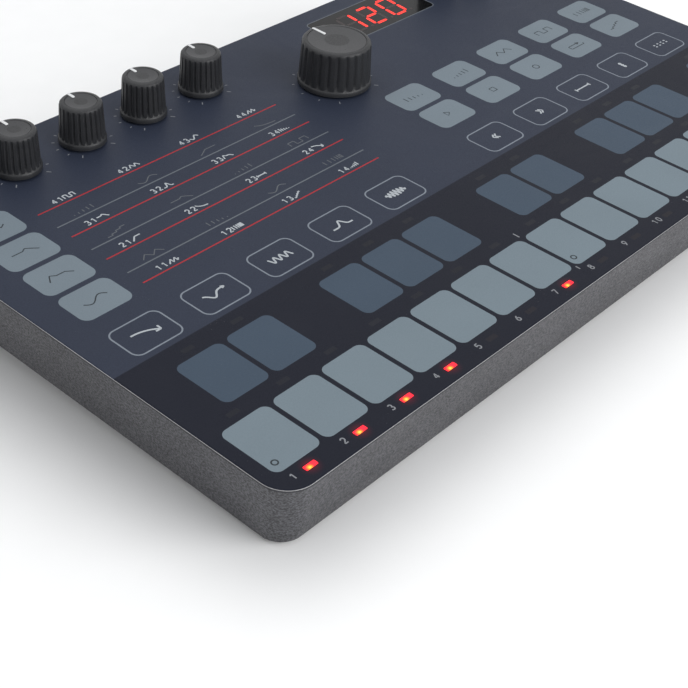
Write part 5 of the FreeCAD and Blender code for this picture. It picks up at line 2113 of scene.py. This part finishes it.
@dataclass(frozen=True)
class Softbox:
    """A soft rectangular lamp.

    Attributes:
        name: Its name.
        place: Where it hangs.
        aim: Where it points.
        size: Its width and height.
        power: Its power in watts.
    """

    name: str
    place: Place
    aim: Place
    size: Point
    power: float

    def hang(self) -> None:
        """Puts the lamp in the scene."""
        data = bpy.data.lights.new(self.name, "AREA")
        data.shape = "RECTANGLE"
        data.size, data.size_y = self.size
        data.energy = self.power
        lamp = bpy.data.objects.new(self.name, data)
        bpy.context.scene.collection.objects.link(lamp)
        lamp.location = self.place
        lamp.rotation_euler = (Vector(self.aim) - Vector(self.place)).to_track_quat("-Z", "Y").to_euler()


@dataclass
class Studio:
    """The floor, the lamps, the surroundings and the camera.

    Attributes:
        ambient: How bright the surroundings are, for light on the object.
        sky: The colour of that light.
        floor_colour: The floor's colour.
        camera_place: Where the camera stands, in metres.
        azimuth: Its direction, in degrees from +y towards +x.
        dip: How far it looks down, in degrees.
        roll: Its roll, in degrees.
        lens: Its focal length, in millimetres.
        lamps: The lamps.
    """

    ambient: float = 0.6
    sky: Colour = (0.97, 0.985, 1.0)
    floor_colour: Colour = (0.96, 0.96, 0.96)
    camera_place: Place = (-0.28163, -0.22342, 0.21922)
    azimuth: float = 48.93
    dip: float = 35.70
    roll: float = 1.144
    lens: float = 74.58
    lamps: tuple[Softbox, ...] = (
        Softbox("left_softbox", (-1.0, -0.1, 0.6), (0.0, 0.0, 0.0), (0.9, 0.7), 1.0),
        Softbox("front_softbox", (0.2, -1.1, 0.55), (0.0, 0.0, 0.0), (0.9, 0.6), 9.8),
        Softbox("top_softbox", (0.1, 0.2, 1.35), (0.0, 0.0, 0.0), (1.4, 1.4), 6.5))

    def set_up(self) -> None:
        """Sets up the whole studio."""
        self._world()
        self._floor()
        for lamp in self.lamps:
            lamp.hang()
        self._camera()
        bpy.context.scene.view_settings.view_transform = "Standard"

    def _world(self) -> None:
        """Makes surroundings that are white to the eye and softer as a light."""
        world = bpy.data.worlds.new("studio")
        bpy.context.scene.world = world
        world.use_nodes = True
        world.node_tree.nodes.clear()
        bench = Bench(world.node_tree)
        soft = bench.add("Background", {"Color": (*self.sky, 1.0), "Strength": self.ambient})
        white = bench.add("Background", {"Color": (1.0, 1.0, 1.0, 1.0), "Strength": 1.0})
        mix = bench.add("MixShader", {0: seen_directly(bench), 1: soft.outputs[0], 2: white.outputs[0]})
        bench.add("OutputWorld", {"Surface": mix.outputs[0]})

    def _floor(self) -> None:
        """Lays the pale floor."""
        former = bmesh.new()
        bmesh.ops.create_grid(former, x_segments=4, y_segments=4, size=4.0)
        data = bpy.data.meshes.new("floor")
        former.to_mesh(data)
        former.free()
        floor = bpy.data.objects.new("floor", data)
        bpy.context.scene.collection.objects.link(floor)
        finish = FloorPaint(
            "floor_paint", self.floor_colour, 0.85, 0.1, Grain(60.0, 0.00002, 0.01, 0.01))
        data.materials.append(finish.material())

    def _camera(self) -> None:
        """Stands the camera at the photograph's viewing angle."""
        data = bpy.data.cameras.new("photo_camera")
        data.lens, data.sensor_width, data.sensor_fit = self.lens, 36.0, "HORIZONTAL"
        data.clip_start, data.clip_end = 0.01, 50.0
        camera = bpy.data.objects.new("photo_camera", data)
        bpy.context.scene.collection.objects.link(camera)
        a, e = math.radians(self.azimuth), math.radians(self.dip)
        forward = Vector((math.cos(e) * math.sin(a), math.cos(e) * math.cos(a), -math.sin(e)))
        turn = forward.to_track_quat("-Z", "Y").to_matrix().to_4x4()
        turn = turn @ Matrix.Rotation(math.radians(self.roll), 4, "Z")
        camera.matrix_world = Matrix.Translation(self.camera_place) @ turn
        bpy.context.scene.camera = camera


def main() -> None:
    """Builds and dresses the synthesizer, sub-assembly by sub-assembly."""
    logging.basicConfig(level=logging.INFO, format="%(name)s: %(message)s")
    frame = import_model()
    layout = PanelLayout()
    pivot = (layout.column(0), layout.knob_row)
    level = LevelFrame.from_joint(frame["joints"], "volume_turn", pivot, JOINT_HEIGHT)
    shop = Shop(frame["nodes"], level, layout, Finishes())
    kinds = (Housing, Keyboard, ButtonField, ParameterTable, KnobSet, Display, RearPanel, Underside, Interior)
    for kind in kinds:
        assembly = kind(shop)
        assembly.build()
        assembly.dress()
        LOG.info("finished %s", kind.__name__)
    Studio().set_up()


if __name__ == "__main__":
    main()
